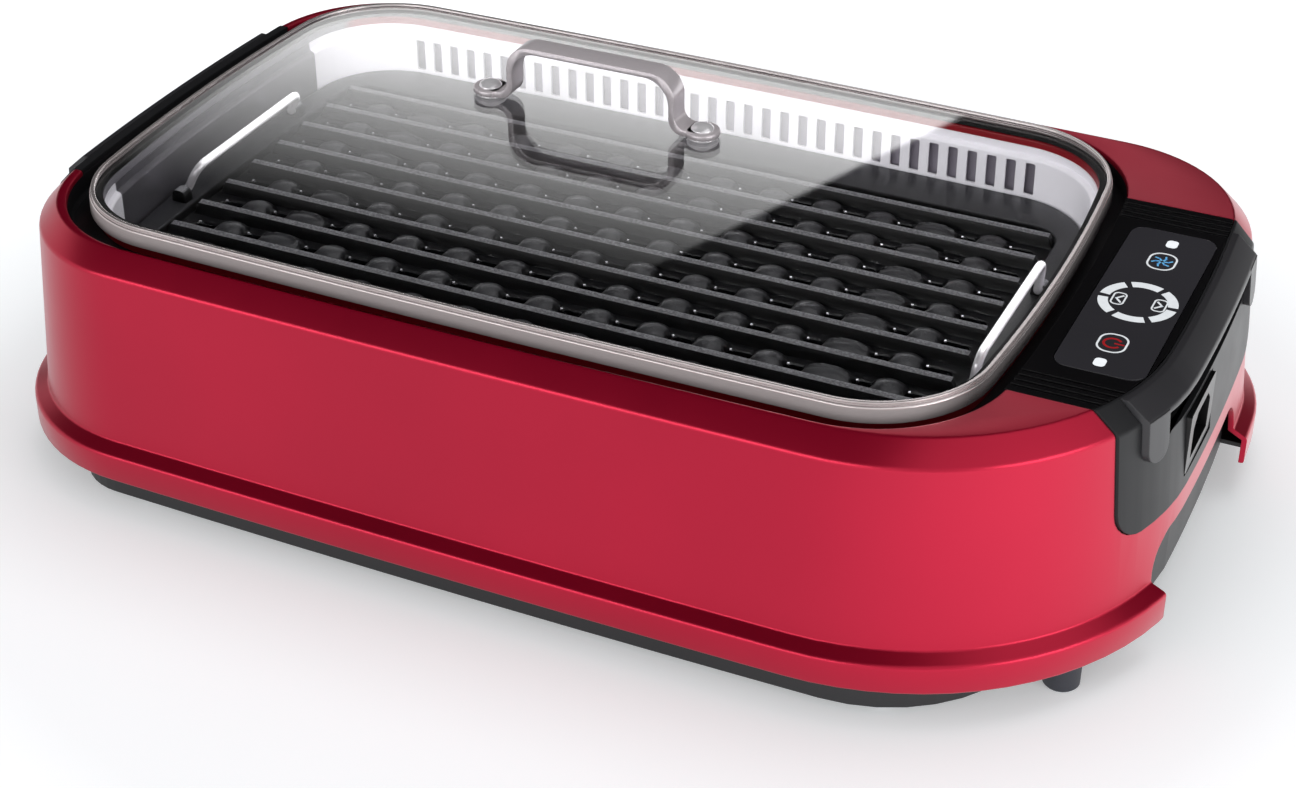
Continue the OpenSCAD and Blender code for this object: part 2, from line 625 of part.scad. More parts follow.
module inlet_pins() color("silver") translate([a_body + 2, -inlet_front, inlet_z])
    for (p = pin_at) translate([-inlet_deep - 9, p.x, p.y]) rotate([0, 90, 0])
        cylinder(h = inlet_deep + 3, d = 3);
module inlet_leads() color("firebrick") for (p = pin_at)
    translate([board_x + board_t, p.x - inlet_front, p.y + inlet_z]) rotate([0, 90, 0])
        cylinder(h = a_body - inlet_deep - 7 - board_x - board_t, r = 1.3);

// The socket in the chamber that the plate's two heater pins drop into.
module heater_socket() color([0.85, 0.82, 0.74]) difference() {
    intersection() {
        translate([pin_x - 6, lid_back - pin_y - 8, tray_z + tray_h - 2]) cube([30, 2 * pin_y + 16, 12]);
        prism(chamber_line(-ledge_w), liner_floor, ledge_z);
    }
    for (s = [-1, 1]) translate([pin_x, lid_back + s * pin_y, tray_z + tray_h]) cylinder(h = 20, d = 5);
}

// Drip tray below the plate.
module drip_tray() color([0.55, 0.56, 0.58]) {
    difference() {
        prism(tray_line(0), tray_z, tray_z + tray_h);
        prism(tray_line(-tray_wall), tray_z + tray_wall, tray_z + tray_h + 1);
    }
    frame(tray_line(4), tray_line(-tray_wall), tray_z + tray_h, tray_z + tray_h + 1.2);
}

// The ribbed plate: border, floor, ridges along X, and rows of domes and drain slots between them.
function dome_x(k, i) = mid_x + (i - (dome_count - 1) / 2) * dome_pitch + (k % 2) * dome_pitch / 2;
function row_y(k) = ridge_y0 + (k + 0.5) * ridge_pitch;
module plate_shell() difference() {
    union() {
        prism(chamber_line(-fit_gap), plate_z0, plate_top);
        prism(chamber_line(-ledge_w - 2), plate_under, plate_z0 + 1);
    }
    prism(shift(oblong(ridge_half + 4, floor_wid / 2, 14, 14, 2, 1, 0), [mid_x, ridge_mid]), plate_floor,
        plate_top + 1);
    for (k = [0 : ridge_count - 2]) for (i = [0 : dome_count - 1]) if (dome_x(k, i) < ridge_half + mid_x - 20)
        translate([dome_x(k, i) + dome_pitch / 2 - drain_len / 2, row_y(k) - drain_w / 2, plate_under - 1])
            cube([drain_len, drain_w, plate_t + plate_lip + 3]);
}
module grill_plate() color([0.2, 0.2, 0.21]) {
    plate_shell();
    for (k = [0 : ridge_count - 1]) translate([mid_x - ridge_half, ridge_y0 + k * ridge_pitch, 0])
        rotate([90, 0, 90]) linear_extrude(2 * ridge_half) polygon([[-ridge_w / 2 - 1.2, plate_floor - 1],
            [ridge_w / 2 + 1.2, plate_floor - 1], [ridge_w / 2, ridge_top - 0.6],
            [ridge_w / 2 - 0.7, ridge_top], [0.7 - ridge_w / 2, ridge_top],
            [-ridge_w / 2, ridge_top - 0.6]]);
    for (k = [0 : ridge_count - 2]) for (i = [0 : dome_count - 1]) if (dome_x(k, i) < ridge_half + mid_x - 8)
        translate([dome_x(k, i), row_y(k), plate_floor - 1])
            cylinder(h = 4, d1 = dome_w * 0.9, d2 = dome_w * 0.45);
}
module heating_tube() color([0.35, 0.33, 0.32]) translate([mid_x, lid_back, heater_z]) {
    for (k = [-1.5, -0.5, 0.5, 1.5]) translate([0, k * heater_pitch, 0]) rotate([0, 90, 0])
        cylinder(h = 2 * (a_cham - 60), d = heater_d, center = true);
    for (s = [-1, 1]) translate([60 - a_cham, s * heater_pitch, 0]) rotate(90)
        rotate_extrude(angle = 180) translate([heater_pitch / 2, 0]) circle(d = heater_d);
    translate([a_cham - 60, 0, 0]) rotate(-90) rotate_extrude(angle = 180) translate([heater_pitch / 2, 0])
        circle(d = heater_d);
}
module heater_pins() color("silver") for (s = [-1, 1]) translate([0, lid_back + s * pin_y, 0]) {
    translate([pin_x, 0, tray_z + tray_h + 1]) cylinder(h = heater_z - tray_z - tray_h + 1, d = 4);
    translate([a_cham - 60 + mid_x, 0, heater_z]) rotate([0, 90, 0])
        cylinder(h = pin_x - a_cham + 60 - mid_x - 1.9, d = 4);
}
module temperature_probe() color("silver") translate([pin_x - 5, lid_back, plate_under - 9]) {
    cylinder(h = 9, d = 8);
    translate([0, 0, -6]) cylinder(h = 6, d = 4);
}

// Wire handles at the two ends of the plate, and the lugs that carry them.
function pivot_x(s) = mid_x + s * (ridge_half + 9.5);
function wire_y(s) = lid_back - (s > 0 ? wire_front : 0);
module handle_lugs() color([0.2, 0.2, 0.21]) for (s = [-1, 1]) for (t = [-1, 1])
    translate([pivot_x(s), wire_y(s) + t * (wire_span / 2 + 5.5), plate_top]) difference() {
        translate([-5, -3, 0]) cube([10, 6, 7]);
        translate([0, -4, 3.5]) rotate([-90, 0, 0]) cylinder(h = 8, d = wire_d + 0.5);
    }
module wire_handle(s) color("white") translate([pivot_x(s), wire_y(s), plate_top + 3.5])
    rotate([0, -s * (s > 0 ? lean_right : lean_left), 0]) {
    r = 8;
    for (t = [-1, 1]) mirror([0, t < 0 ? 1 : 0, 0]) {
        translate([0, wire_span / 2 - wire_d / 2, 0]) rotate([-90, 0, 0]) cylinder(h = 10, d = wire_d);
        translate([0, wire_span / 2, 0]) cylinder(h = wire_h - r, d = wire_d);
        translate([0, wire_span / 2 - r, wire_h - r]) rotate([90, 0, 90]) rotate_extrude(angle = 90)
            translate([r, 0]) circle(d = wire_d);
    }
    translate([0, 0, wire_h]) rotate([90, 0, 0]) cylinder(h = wire_span - 2 * r, d = wire_d, center = true);
}
module wire_handle_left() wire_handle(-1);
module wire_handle_right() wire_handle(1);

// The lid: glass in a steel rim, a seal under it and a riveted strap handle.
module lid_glass() color([0.8, 0.9, 0.95, 0.4]) difference() {
    prism(lid_line(-rim_t), glass_z, glass_z + glass_t);
    for (s = [-1, 1]) translate([hx + s * handle_span / 2, hy, glass_z - 1]) cylinder(h = 10, d = 5.4);
}
module lid_rim() color("silver") {
    frame(lid_line(0), lid_line(-rim_t), band_z, lid_top);
    frame(lid_line(-rim_t), lid_line(-lip_top), glass_z + glass_t, lid_top);
    frame(lid_line(-rim_t), lid_line(-lip_low), flange_z, glass_z);
}
module lid_gasket() color(black)
    frame(chamber_line(ring_in + collar_wall), chamber_line(ring_in), collar_z + clear, flange_z);
module lid_handle() color("silver") {
    t = strap_t;
    s2 = handle_span / 2;
    foot = 9;
    knee = s2 - 13;
    low = 7;
    r = 11;
    translate([hx, hy + strap_w / 2, lid_top - rim_t + 1.4]) rotate([90, 0, 0]) difference() {
        linear_extrude(strap_w) polygon(concat(
            [[-s2 - foot, 0], [-s2 - foot, t]],
            [[-knee - low, t]], arc_pts([-knee - low, t + low], low, 270, 360, 5),
            arc_pts([r - knee, handle_h - r - t], r, 180, 90, 5),
            arc_pts([knee - r, handle_h - r - t], r, 90, 0, 5),
            arc_pts([knee + low, t + low], low, 180, 270, 5), [[s2 + foot, t], [s2 + foot, 0]],
            [[knee + low, 0]], arc_pts([knee + low, t + low], low + t, 270, 180, 5),
            arc_pts([knee - r, handle_h - r - t], r - t, 0, 90, 5),
            arc_pts([r - knee, handle_h - r - t], r - t, 90, 180, 5),
            arc_pts([-knee - low, t + low], low + t, 360, 270, 5)));
        for (s = [-1, 1]) translate([s * s2, -1, strap_w / 2]) rotate([-90, 0, 0]) cylinder(h = 6, d = 5.4);
    }
}
module lid_rivets() color("lightgrey") for (s = [-1, 1]) translate([hx + s * handle_span / 2, hy, 0]) {
    translate([0, 0, glass_z - 1.6]) cylinder(h = glass_t + 8, d = 5);
    translate([0, 0, glass_z - 3.4]) cylinder(h = 1.8, d = 11);
    translate([0, 0, lid_top - rim_t + 1.4 + strap_t]) rotate_extrude()
        polygon([[0, 0], [5.6, 0], [5.6, 0.8], [4.6, 1.8], [2.6, 2.4], [0, 2.6]]);
}
module handle_washers() color([0.75, 0.78, 0.85])
    for (s = [-1, 1]) for (w = [[lid_top - rim_t, 1.4], [glass_z - 1.6, 1.6]])
        translate([hx + s * handle_span / 2, hy, w.x]) difference() {
            cylinder(h = w.y, d = 15);
            cylinder(h = 4, d = 5.4, center = true);
        }

outer_housing();
base_pan();
feet();
foot_screws();
case_screws();
bezel_ring();
lid_collar();
inner_liner();
lower_tub();
heat_shield();
blower_housing();
blower_motor();
wheel_bearings();
blower_wheel();
wheel_shaft();
rear_grille();
control_deck();
touch_glass();
light_bars();
control_board();
board_parts();
power_board();
power_parts();
right_end_cover();
right_grip();
left_end_cover();
left_grip();
power_inlet();
inlet_pins();
inlet_leads();
heater_socket();
drip_tray();
grill_plate();
heating_tube();
heater_pins();
temperature_probe();
handle_lugs();
wire_handle_left();
wire_handle_right();
lid_glass();
lid_rim();
lid_gasket();
lid_handle();
lid_rivets();
handle_washers();
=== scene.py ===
import math

import bmesh
import bpy
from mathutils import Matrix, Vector


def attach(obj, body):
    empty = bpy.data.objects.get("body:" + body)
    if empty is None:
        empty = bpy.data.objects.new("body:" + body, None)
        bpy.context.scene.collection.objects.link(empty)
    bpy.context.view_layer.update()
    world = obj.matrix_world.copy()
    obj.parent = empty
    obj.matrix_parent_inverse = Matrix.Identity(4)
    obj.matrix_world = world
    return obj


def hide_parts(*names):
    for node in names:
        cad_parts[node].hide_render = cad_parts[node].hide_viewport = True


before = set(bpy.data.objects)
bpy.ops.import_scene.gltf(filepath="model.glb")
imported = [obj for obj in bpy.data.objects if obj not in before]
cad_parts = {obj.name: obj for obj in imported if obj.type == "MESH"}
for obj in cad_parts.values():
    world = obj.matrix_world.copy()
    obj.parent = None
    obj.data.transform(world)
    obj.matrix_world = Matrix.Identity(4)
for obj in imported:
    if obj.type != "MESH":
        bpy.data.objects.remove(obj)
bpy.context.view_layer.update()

MM = 0.001
scene = bpy.context.scene

# Sizes in millimetres. X runs to the panel end, Y to the back, Z up.
A_BODY, B_BODY = 259.0, 153.0       # half length and half width of the housing's top line
DECK, EDGE, JOIN = 124.5, 115.0, 33.0   # deck, upper edge of the wall, top of the skirt's slope
SKIRT, SKIRT_TOP = 16.0, 29.5
FLARE, OUT = 6.5, 13.3              # how far the wall's foot and the skirt stand out
SKIRT_IN = 10.8                     # the skirt's inner face
WELL_X, A_WELL, B_WELL = -22.5, 224.0, 142.5
LX, LY = -22.5, 4.0                 # middle of the lid and of the chamber
A_LID, B_LID = 216.8, 135.0
A_CH, B_CH = 208.0, 124.0
BULGE = (9, 3)                      # how far ends and sides of the outlines bow out
PLATE_TOP, PLATE_FLOOR, RIDGE_TOP = 92.3, 88.8, 94.8
PLATE_LOW = 81.3
RIDGE_MID = -2.0                    # Y of the middle ridge
GLASS_Z, GLASS_TOP, LID_TOP = 122.8, 126.8, 128.0
RING_LOW, SEAT_Z = 110.5, 112.5     # underside of the well's ring, and the seat beside it
SEAT_IN, SEAT_OUT = 3.2, 6.2        # the collar's and the seal's faces, outside the chamber's line
SEAL_Z = 120.3
CHAM_LOW = 84.0                     # lower edge of the bright wall
COLLAR_TOP = 120.0


# Outlines
def arc(centre, radius, start, stop, steps):
    angles = [start + (stop - start) * i / steps for i in range(steps + 1)]
    return [(centre[0] + radius * math.cos(a), centre[1] + radius * math.sin(a)) for a in angles]


def quarter(a, b, r, end_bow, side_bow, d, steps=(8, 18, 14)):
    """A quarter outline from the X axis to the Y axis: end arc, corner arc and side arc, offset by d."""
    end_radius = (b * b + end_bow * end_bow) / (2 * end_bow)
    side_radius = (a * a + side_bow * side_bow) / (2 * side_bow)
    side_centre = Vector((0, b - side_radius))
    end_centre = Vector((a - end_radius, 0))
    gap = (end_centre - side_centre).length
    way = (end_centre - side_centre) / gap
    from_side, from_end = side_radius - r, end_radius - r
    t = (from_side * from_side - from_end * from_end + gap * gap) / (2 * gap)
    h = math.sqrt(from_side * from_side - t * t)
    corner = side_centre + way * t + Vector((way.y, -way.x)) * h
    end_stop = math.atan2(corner.y - end_centre.y, corner.x - end_centre.x)
    side_start = math.atan2(corner.y - side_centre.y, corner.x - side_centre.x)
    return (arc(end_centre, end_radius + d, 0, end_stop, steps[0])
            + arc(corner, r + d, end_stop, side_start, steps[1])[1:]
            + arc(side_centre, side_radius + d, side_start, math.pi / 2, steps[2])[1:])


def oblong(half, radii, bulge, d, at=(0, 0)):
    """A closed outline; radii are those of the left, the front right and the back right corners."""
    left, front, back = [quarter(*half, r, *bulge, d) for r in radii]
    line = (back + [(-x, y) for x, y in reversed(left)][1:] + [(-x, -y) for x, y in left][1:]
            + [(x, -y) for x, y in reversed(front)][1:-1])
    return [(x + at[0], y + at[1]) for x, y in line]


def body_line(d):
    return oblong((A_BODY, B_BODY), (70, 122, 75), BULGE, d)


def well_line(d):
    return oblong((A_WELL, B_WELL), (62, 62, 62), BULGE, d, (WELL_X, 0))


def lid_line(d):
    return oblong((A_LID, B_LID), (54, 54, 54), BULGE, d, (LX, LY))


def cham_line(d):
    return oblong((A_CH, B_CH), (42, 42, 42), BULGE, d, (LX, LY))


def fillet(pts, closed=True):
    """Rounds the corners of a list of (u, v, radius, steps), where the last two may be left out."""
    out, n = [], len(pts)
    for i, p in enumerate(pts):
        r = p[2] if len(p) > 2 else 0
        if r <= 0 or (not closed and i in (0, n - 1)):
            out.append((p[0], p[1]))
            continue
        c = Vector(p[:2])
        u, v = (Vector(pts[i - 1][:2]) - c), (Vector(pts[(i + 1) % n][:2]) - c)
        lu, lv = u.length, v.length
        u, v = u / lu, v / lv
        ang = math.acos(max(-1, min(1, u.dot(v))))
        t = min(r / math.tan(ang / 2), lu * 0.49, lv * 0.49)
        r = t * math.tan(ang / 2)
        o = c + (u + v).normalized() * (r / math.sin(ang / 2))
        s, f = c + u * t - o, c + v * t - o
        a0 = math.atan2(s.y, s.x)
        turn = (math.atan2(f.y, f.x) - a0 + math.pi) % (2 * math.pi) - math.pi
        out += arc(o, r, a0, a0 + turn, p[3] if len(p) > 3 else 4)
    return out


def round_rect(w, h, r, at=(0, 0), steps=6):
    signs = ((-1, -1), (1, -1), (1, 1), (-1, 1))
    return fillet([(at[0] + sx * w / 2, at[1] + sy * h / 2, r, steps) for sx, sy in signs])


# Mesh builders: each returns vertices in millimetres and faces
def rings_mesh(rings, closed=True, cap=False):
    """Joins rings of equally many points; closed also joins the last ring to the first."""
    n, m = len(rings[0]), len(rings)
    verts = [p for r in rings for p in r]
    faces = []
    for k in range(m if closed else m - 1):
        a, b = k * n, ((k + 1) % m) * n
        faces += [(a + i, a + (i + 1) % n, b + (i + 1) % n, b + i) for i in range(n)]
    if cap:
        faces += [tuple(reversed(range(n))), tuple(range((m - 1) * n, m * n))]
    return verts, faces


def along(line, pts):
    return [(line, d, z) for d, z in pts]


def sweep(profile, closed=True, cap=False):
    """A solid from (outline function, offset, height) triples."""
    return rings_mesh([[(x, y, z) for x, y in line(d)] for line, d, z in profile], closed, cap)


def band(line, pts):
    return sweep(along(line, fillet(pts)))


def slab(line, z0, z1, r, steps=3):
    """A solid plate over an outline with rounded rims."""
    angles = [math.pi / 2 * i / steps for i in range(steps + 1)]
    prof = [(-r * (1 - math.sin(a)), z0 + r * (1 - math.cos(a))) for a in angles]
    prof += [(-r * (1 - math.cos(a)), z1 - r * (1 - math.sin(a))) for a in angles]
    return sweep(along(line, prof), closed=False, cap=True)


PLACE = {"x": lambda u, v, w: (w, u, v), "y": lambda u, v, w: (u, w, v), "z": lambda u, v, w: (u, v, w)}


def prism(poly, lo, hi, axis="z"):
    """A polygon drawn out along an axis from lo to hi."""
    n = len(poly)
    verts = [PLACE[axis](u, v, w) for w in (lo, hi) for u, v in poly]
    faces = [tuple(reversed(range(n))), tuple(range(n, 2 * n))]
    faces += [(i, (i + 1) % n, n + (i + 1) % n, n + i) for i in range(n)]
    return verts, faces


def cube(x0, x1, y0, y1, z0, z1):
    return prism([(x0, y0), (x1, y0), (x1, y1), (x0, y1)], z0, z1)


def lathe(profile, at, n=48):
    """Turns (radius, height) points round an upright axis through the point at."""
    verts, faces, rows = [], [], []
    for r, h in profile:
        if r == 0:
            rows.append([len(verts)])
            verts.append((at[0], at[1], h))
            continue
        rows.append(list(range(len(verts), len(verts) + n)))
        verts += [(at[0] + r * math.cos(2 * math.pi * i / n), at[1] + r * math.sin(2 * math.pi * i / n), h)
                  for i in range(n)]
    for a, b in zip(rows, rows[1:]):
        for i in range(n):
            j = (i + 1) % n
            if len(a) == 1:
                faces.append((a[0], b[i], b[j]))
            elif len(b) == 1:
                faces.append((a[i], a[j], b[0]))
            else:
                faces.append((a[i], a[j], b[j], b[i]))
    return verts, faces


def tube(path, r, n):
    """A round wire along a list of points."""
    pts = [Vector(p) for p in path]
    angles = [2 * math.pi * k / n for k in range(n)]
    rings, side = [], None
    for i, p in enumerate(pts):
        t = (pts[min(i + 1, len(pts) - 1)] - pts[max(i - 1, 0)]).normalized()
        if side is None:
            side = t.orthogonal().normalized()
        side = (side - t * side.dot(t)).normalized()
        up = t.cross(side)
        rings.append([tuple(p + (side * math.cos(a) + up * math.sin(a)) * r) for a in angles])
    return rings_mesh(rings, closed=False, cap=True)


def join(*parts):
    verts, faces = [], []
    for v, f in parts:
        k = len(verts)
        verts += list(v)
        faces += [tuple(i + k for i in q) for q in f]
    return verts, faces


def make(name, data, body=None, mat=None, nodes=(), angle=32, bevel=0, steps=2):
    """Makes an object; with a body it also gets its material, hangs under that body and hides the solids it
    replaces.
    """
    verts, faces = data
    me = bpy.data.meshes.new(name)
    me.from_pydata([(x * MM, y * MM, z * MM) for x, y, z in verts], [], faces)
    bm = bmesh.new()
    bm.from_mesh(me)
    bmesh.ops.recalc_face_normals(bm, faces=bm.faces)
    bm.to_mesh(me)
    bm.free()
    ob = bpy.data.objects.new(name, me)
    scene.collection.objects.link(ob)
    if body:
        settle(ob, body, mat, nodes, angle, bevel, steps)
    return ob


def bake(ob):
    """Applies an object's modifiers."""
    dg = bpy.context.evaluated_depsgraph_get()
    dg.update()
    me = bpy.data.meshes.new_from_object(ob.evaluated_get(dg))
    old = ob.data
    ob.modifiers.clear()
    ob.data = me
    me.name = old.name + "_m"
    bpy.data.meshes.remove(old)


def cut(ob, data, op="DIFFERENCE"):
    tool = make("tool", data)
    m = ob.modifiers.new("cut", "BOOLEAN")
    m.operation = op
    m.object = tool
    m.solver = "EXACT"
    bake(ob)
    bpy.data.objects.remove(tool)


def take(ob):
    """The vertices and faces of a helper object, which is removed."""
    verts = [tuple(c / MM for c in v.co) for v in ob.data.vertices]
    faces = [tuple(p.vertices) for p in ob.data.polygons]
    bpy.data.objects.remove(ob)
    return verts, faces


def settle(ob, body, mat, nodes=(), angle=32, bevel=0, steps=2):
    if bevel:
        m = ob.modifiers.new("bevel", "BEVEL")
        m.width = bevel * MM
        m.segments = steps
        m.limit_method = "ANGLE"
        m.angle_limit = math.radians(30)
        m.use_clamp_overlap = True
        bake(ob)
    me = ob.data
    for p in me.polygons:
        p.use_smooth = True
    me.set_sharp_from_angle(angle=math.radians(angle))
    me.materials.clear()
    me.materials.append(mat)
    if nodes:
        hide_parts(*nodes)
    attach(ob, body)


# Shader helpers
def lin(*rgb):
    """An sRGB colour in 0..255 as linear RGBA."""
    shares = [c / 255 for c in rgb]
    return tuple(c / 12.92 if c <= 0.04045 else ((c + 0.055) / 1.055) ** 2.4 for c in shares) + (1,)


def math_node(t, op, *values):
    """A Math node in the tree t, whose inputs are numbers or sockets."""
    n = t.nodes.new("ShaderNodeMath")
    n.operation = op
    for socket, v in zip(n.inputs, values):
        if isinstance(v, (int, float)):
            socket.default_value = v
        else:
            t.links.new(v, socket)
    return n.outputs[0]


def clamp_node(t, value):
    return math_node(t, "MINIMUM", math_node(t, "MAXIMUM", value, 0.0), 1.0)


def mix_shaders(t, share, first, second, out):
    """Sends a mix of two shaders to the socket out."""
    mix = t.nodes.new("ShaderNodeMixShader")
    for source, socket in zip((share, first, second), mix.inputs):
        t.links.new(source, socket)
    t.links.new(mix.outputs[0], out)


class Mat:
    """A node material with one Principled shader and helpers for procedural detail."""

    def __init__(self, name, rgb, rough=0.4, metal=0.0, **sockets):
        self.m = bpy.data.materials.new(name)
        self.m.use_nodes = True
        self.t = self.m.node_tree
        self.p = self.t.nodes["Principled BSDF"]
        self.out = self.t.nodes["Material Output"].inputs["Surface"]
        self.rgb = lin(*rgb)
        self.p.inputs["Base Color"].default_value = self.rgb
        self.p.inputs["Roughness"].default_value = rough
        self.p.inputs["Metallic"].default_value = metal
        for k, v in sockets.items():
            self.p.inputs[k.replace("_", " ")].default_value = v
        self.coord = self.node("ShaderNodeTexCoord").outputs["Object"]
        self.normal = None

    def node(self, kind, **props):
        n = self.t.nodes.new(kind)
        for k, v in props.items():
            setattr(n, k, v)
        return n

    def link(self, a, b):
        self.t.links.new(a, b)

    def colour(self, socket):
        self.link(socket, self.p.inputs["Base Color"])

    def axes(self, vector):
        """The X, Y and Z sockets of a vector."""
        n = self.node("ShaderNodeSeparateXYZ")
        self.link(vector, n.inputs[0])
        return n.outputs

    def spread(self, value, source, target=(0.0, 1.0), smooth=False):
        """Carries a value from one range over to another, clamped."""
        n = self.node("ShaderNodeMapRange", interpolation_type="SMOOTHSTEP" if smooth else "LINEAR")
        for end, number in zip(("From Min", "From Max", "To Min", "To Max"), (*source, *target)):
            n.inputs[end].default_value = number
        self.link(value, n.inputs["Value"])
        return n.outputs["Result"]

    def noise(self, scale, detail=3.0, rough=0.5, stretch=None):
        n = self.node("ShaderNodeTexNoise")
        n.inputs["Scale"].default_value = scale
        n.inputs["Detail"].default_value = detail
        n.inputs["Roughness"].default_value = rough
        src = self.coord
        if stretch:
            mp = self.node("ShaderNodeMapping")
            mp.inputs["Scale"].default_value = stretch
            self.link(src, mp.inputs["Vector"])
            src = mp.outputs["Vector"]
        self.link(src, n.inputs["Vector"])
        return n.outputs["Fac"]

    def ramp(self, fac, *stops):
        r = self.node("ShaderNodeValToRGB")
        elements = r.color_ramp.elements
        while len(elements) < len(stops):
            elements.new(0.5)
        for element, (position, colour) in zip(elements, stops):
            element.position = position
            element.color = colour
        self.link(fac, r.inputs["Fac"])
        return r.outputs["Color"]

    def shade(self, fac, lo, hi):
        """Lets the colour vary between two multiples of the base colour."""
        dark, pale = [(*[min(1, c * k) for c in self.rgb[:3]], 1) for k in (lo, hi)]
        self.colour(self.ramp(fac, (0.3, dark), (0.7, pale)))

    def rough(self, fac, lo, hi):
        self.link(self.spread(fac, (0.0, 1.0), (lo, hi)), self.p.inputs["Roughness"])

    def bump(self, fac, dist, strength):
        b = self.node("ShaderNodeBump")
        b.inputs["Distance"].default_value = dist * MM
        b.inputs["Strength"].default_value = strength
        self.link(fac, b.inputs["Height"])
        if self.normal:
            self.link(self.normal, b.inputs["Normal"])
        self.normal = b.outputs["Normal"]
        self.link(self.normal, self.p.inputs["Normal"])

    def round(self, radius):
        """Softens the look of sharp edges."""
        b = self.node("ShaderNodeBevel", samples=4)
        b.inputs["Radius"].default_value = radius * MM
        self.normal = b.outputs["Normal"]
        self.link(self.normal, self.p.inputs["Normal"])


# Materials
def plastic(name, rgb, rough, grain=0.04, scale=2600, strength=0.18, edge=0.0, shine=0.5):
    m = Mat(name, rgb, rough, Specular_IOR_Level=shine)
    if edge:
        m.round(edge)
    m.shade(m.noise(9, 3), 0.9, 1.12)
    m.rough(m.noise(60, 4), rough - 0.04, rough + 0.06)
    m.bump(m.noise(scale, 2), grain, strength)
    return m.m


def metal(name, rgb, rough, stretch=None, scale=700, grain=0.02, strength=0.25, edge=0.0,
          lo=0.92, hi=1.05, pure=1.0):
    m = Mat(name, rgb, rough, pure)
    if edge:
        m.round(edge)
    f = m.noise(scale, 4, 0.6, stretch)
    m.shade(f, lo, hi)
    m.rough(m.noise(30, 3), rough - 0.03, rough + 0.05)
    m.bump(f, grain, strength)
    return m.m


def red_paint():
    m = Mat("red_satin_paint", (184, 6, 50), 0.3, 0.72, Specular_IOR_Level=0.4,
            Coat_Weight=0.35, Coat_Roughness=0.3, Coat_IOR=1.45)
    m.round(0.7)
    m.shade(m.noise(6, 3), 0.93, 1.07)
    m.rough(m.noise(45, 4), 0.27, 0.34)
    m.bump(m.noise(1800, 2), 0.012, 0.25)
    return m.m


def cast_black():
    """Near black and glossy in the hollows, greyer and grainier towards the ridge tops: the dark hollows and
    slopes are painted shade, and the pale ridge tops are a painted highlight.
    """
    m = Mat("nonstick_coating", (46, 46, 48), 0.42)
    height = m.axes(m.coord)["Z"]
    slope = m.axes(m.node("ShaderNodeNewGeometry").outputs["True Normal"])["Z"]
    grain = m.noise(1000, 3, 0.7)
    # Painted shade by height and by slope, and a painted highlight on the ridge tops; the grain is the
    # coating's own
    height_shade = m.spread(height, (0.0870, 0.0952), (-0.14, 0.72))
    slope_shade = m.spread(slope, (0.25, 0.95), smooth=True)
    pale = math_node(m.t, "MULTIPLY", math_node(m.t, "MULTIPLY_ADD", grain, 0.5, height_shade), slope_shade)
    m.colour(m.ramp(pale, (0.08, lin(5, 5, 6)), (0.34, lin(16, 16, 18)), (0.72, lin(48, 48, 51)),
                    (0.86, lin(90, 90, 93)), (1.0, lin(150, 150, 154))))
    m.link(m.spread(height, (0.0880, 0.08875), (0.08, 0.42)), m.p.inputs["Roughness"])
    m.bump(grain, 0.10, 0.5)
    return m.m


def left_part(m, start, stop, front=-500, back=500):
    """Rises from 0 to 1 between two distances left of the chamber's middle, between front and back."""
    place = m.axes(m.coord)
    value = 1.0
    for axis, lo, hi in (("X", LX - start, LX - stop), ("Y", front, front + 0.8), ("Y", back, back - 0.8)):
        inside = m.spread(place[axis], (lo * MM, hi * MM), smooth=True)
        value = math_node(m.t, "MULTIPLY", inside, value)
    return value


def collar_red():
    """Red, with a grey stretch at the left end."""
    m = Mat("collar_red", (150, 10, 26), 0.38)
    m.round(0.5)
    m.colour(m.ramp(left_part(m, 196, 201), (0, m.rgb), (1, lin(120, 118, 124))))
    m.rough(m.noise(60, 4), 0.34, 0.44)
    m.bump(m.noise(2600, 2), 0.04, 0.18)
    return m.m


def chamber_metal():
    """Pale satin, more mirror-like at the left end, where painted shade also darkens its colour."""
    m = Mat("chamber_metal", (242, 240, 246), 0.3, 0.1)
    left_shade = left_part(m, 190, 203, -84, 86)
    m.link(m.spread(left_shade, (0.0, 1.0), (0.08, 0.8)), m.p.inputs["Metallic"])
    # Painted shade: the colour turns grey towards the left end
    m.colour(m.ramp(left_shade, (0, m.rgb), (1, lin(140, 138, 144))))
    m.rough(m.noise(30, 3), 0.28, 0.36)
    m.bump(m.noise(500, 4, 0.6), 0.01, 0.15)
    return m.m


def rim_steel():
    """Satin where it faces the front, mirror-like round the ends and back."""
    m = Mat("brushed_steel", (236, 226, 226), 0.3, 0.5)
    m.round(0.25)
    facing = m.axes(m.node("ShaderNodeNewGeometry").outputs["Normal"])["Y"]
    m.link(m.spread(facing, (-0.75, -0.35), (0.36, 0.8)), m.p.inputs["Metallic"])
    f = m.noise(260, 4, 0.6, (1, 1, 14))
    m.shade(f, 0.94, 1.03)
    m.rough(m.noise(30, 3), 0.18, 0.24)
    m.bump(f, 0.012, 0.2)
    return m.m


def clear_glass(name, tint):
    """Glass that lets light through to what lies below it."""
    m = Mat(name, tint, 0.02, IOR=1.45, Transmission_Weight=1.0)
    m.rough(m.noise(20, 2), 0.0, 0.002)
    clear = m.node("ShaderNodeBsdfTransparent")
    rays = m.node("ShaderNodeLightPath").outputs
    passing = math_node(m.t, "MAXIMUM", rays["Is Shadow Ray"], rays["Is Diffuse Ray"])
    mix_shaders(m.t, passing, m.p.outputs[0], clear.outputs[0], m.out)
    return m.m


def glow(name, rgb, strength):
    m = Mat(name, rgb, 0.5, Emission_Color=lin(*rgb), Emission_Strength=strength)
    m.shade(m.noise(300, 2), 0.93, 1.05)
    return m.m


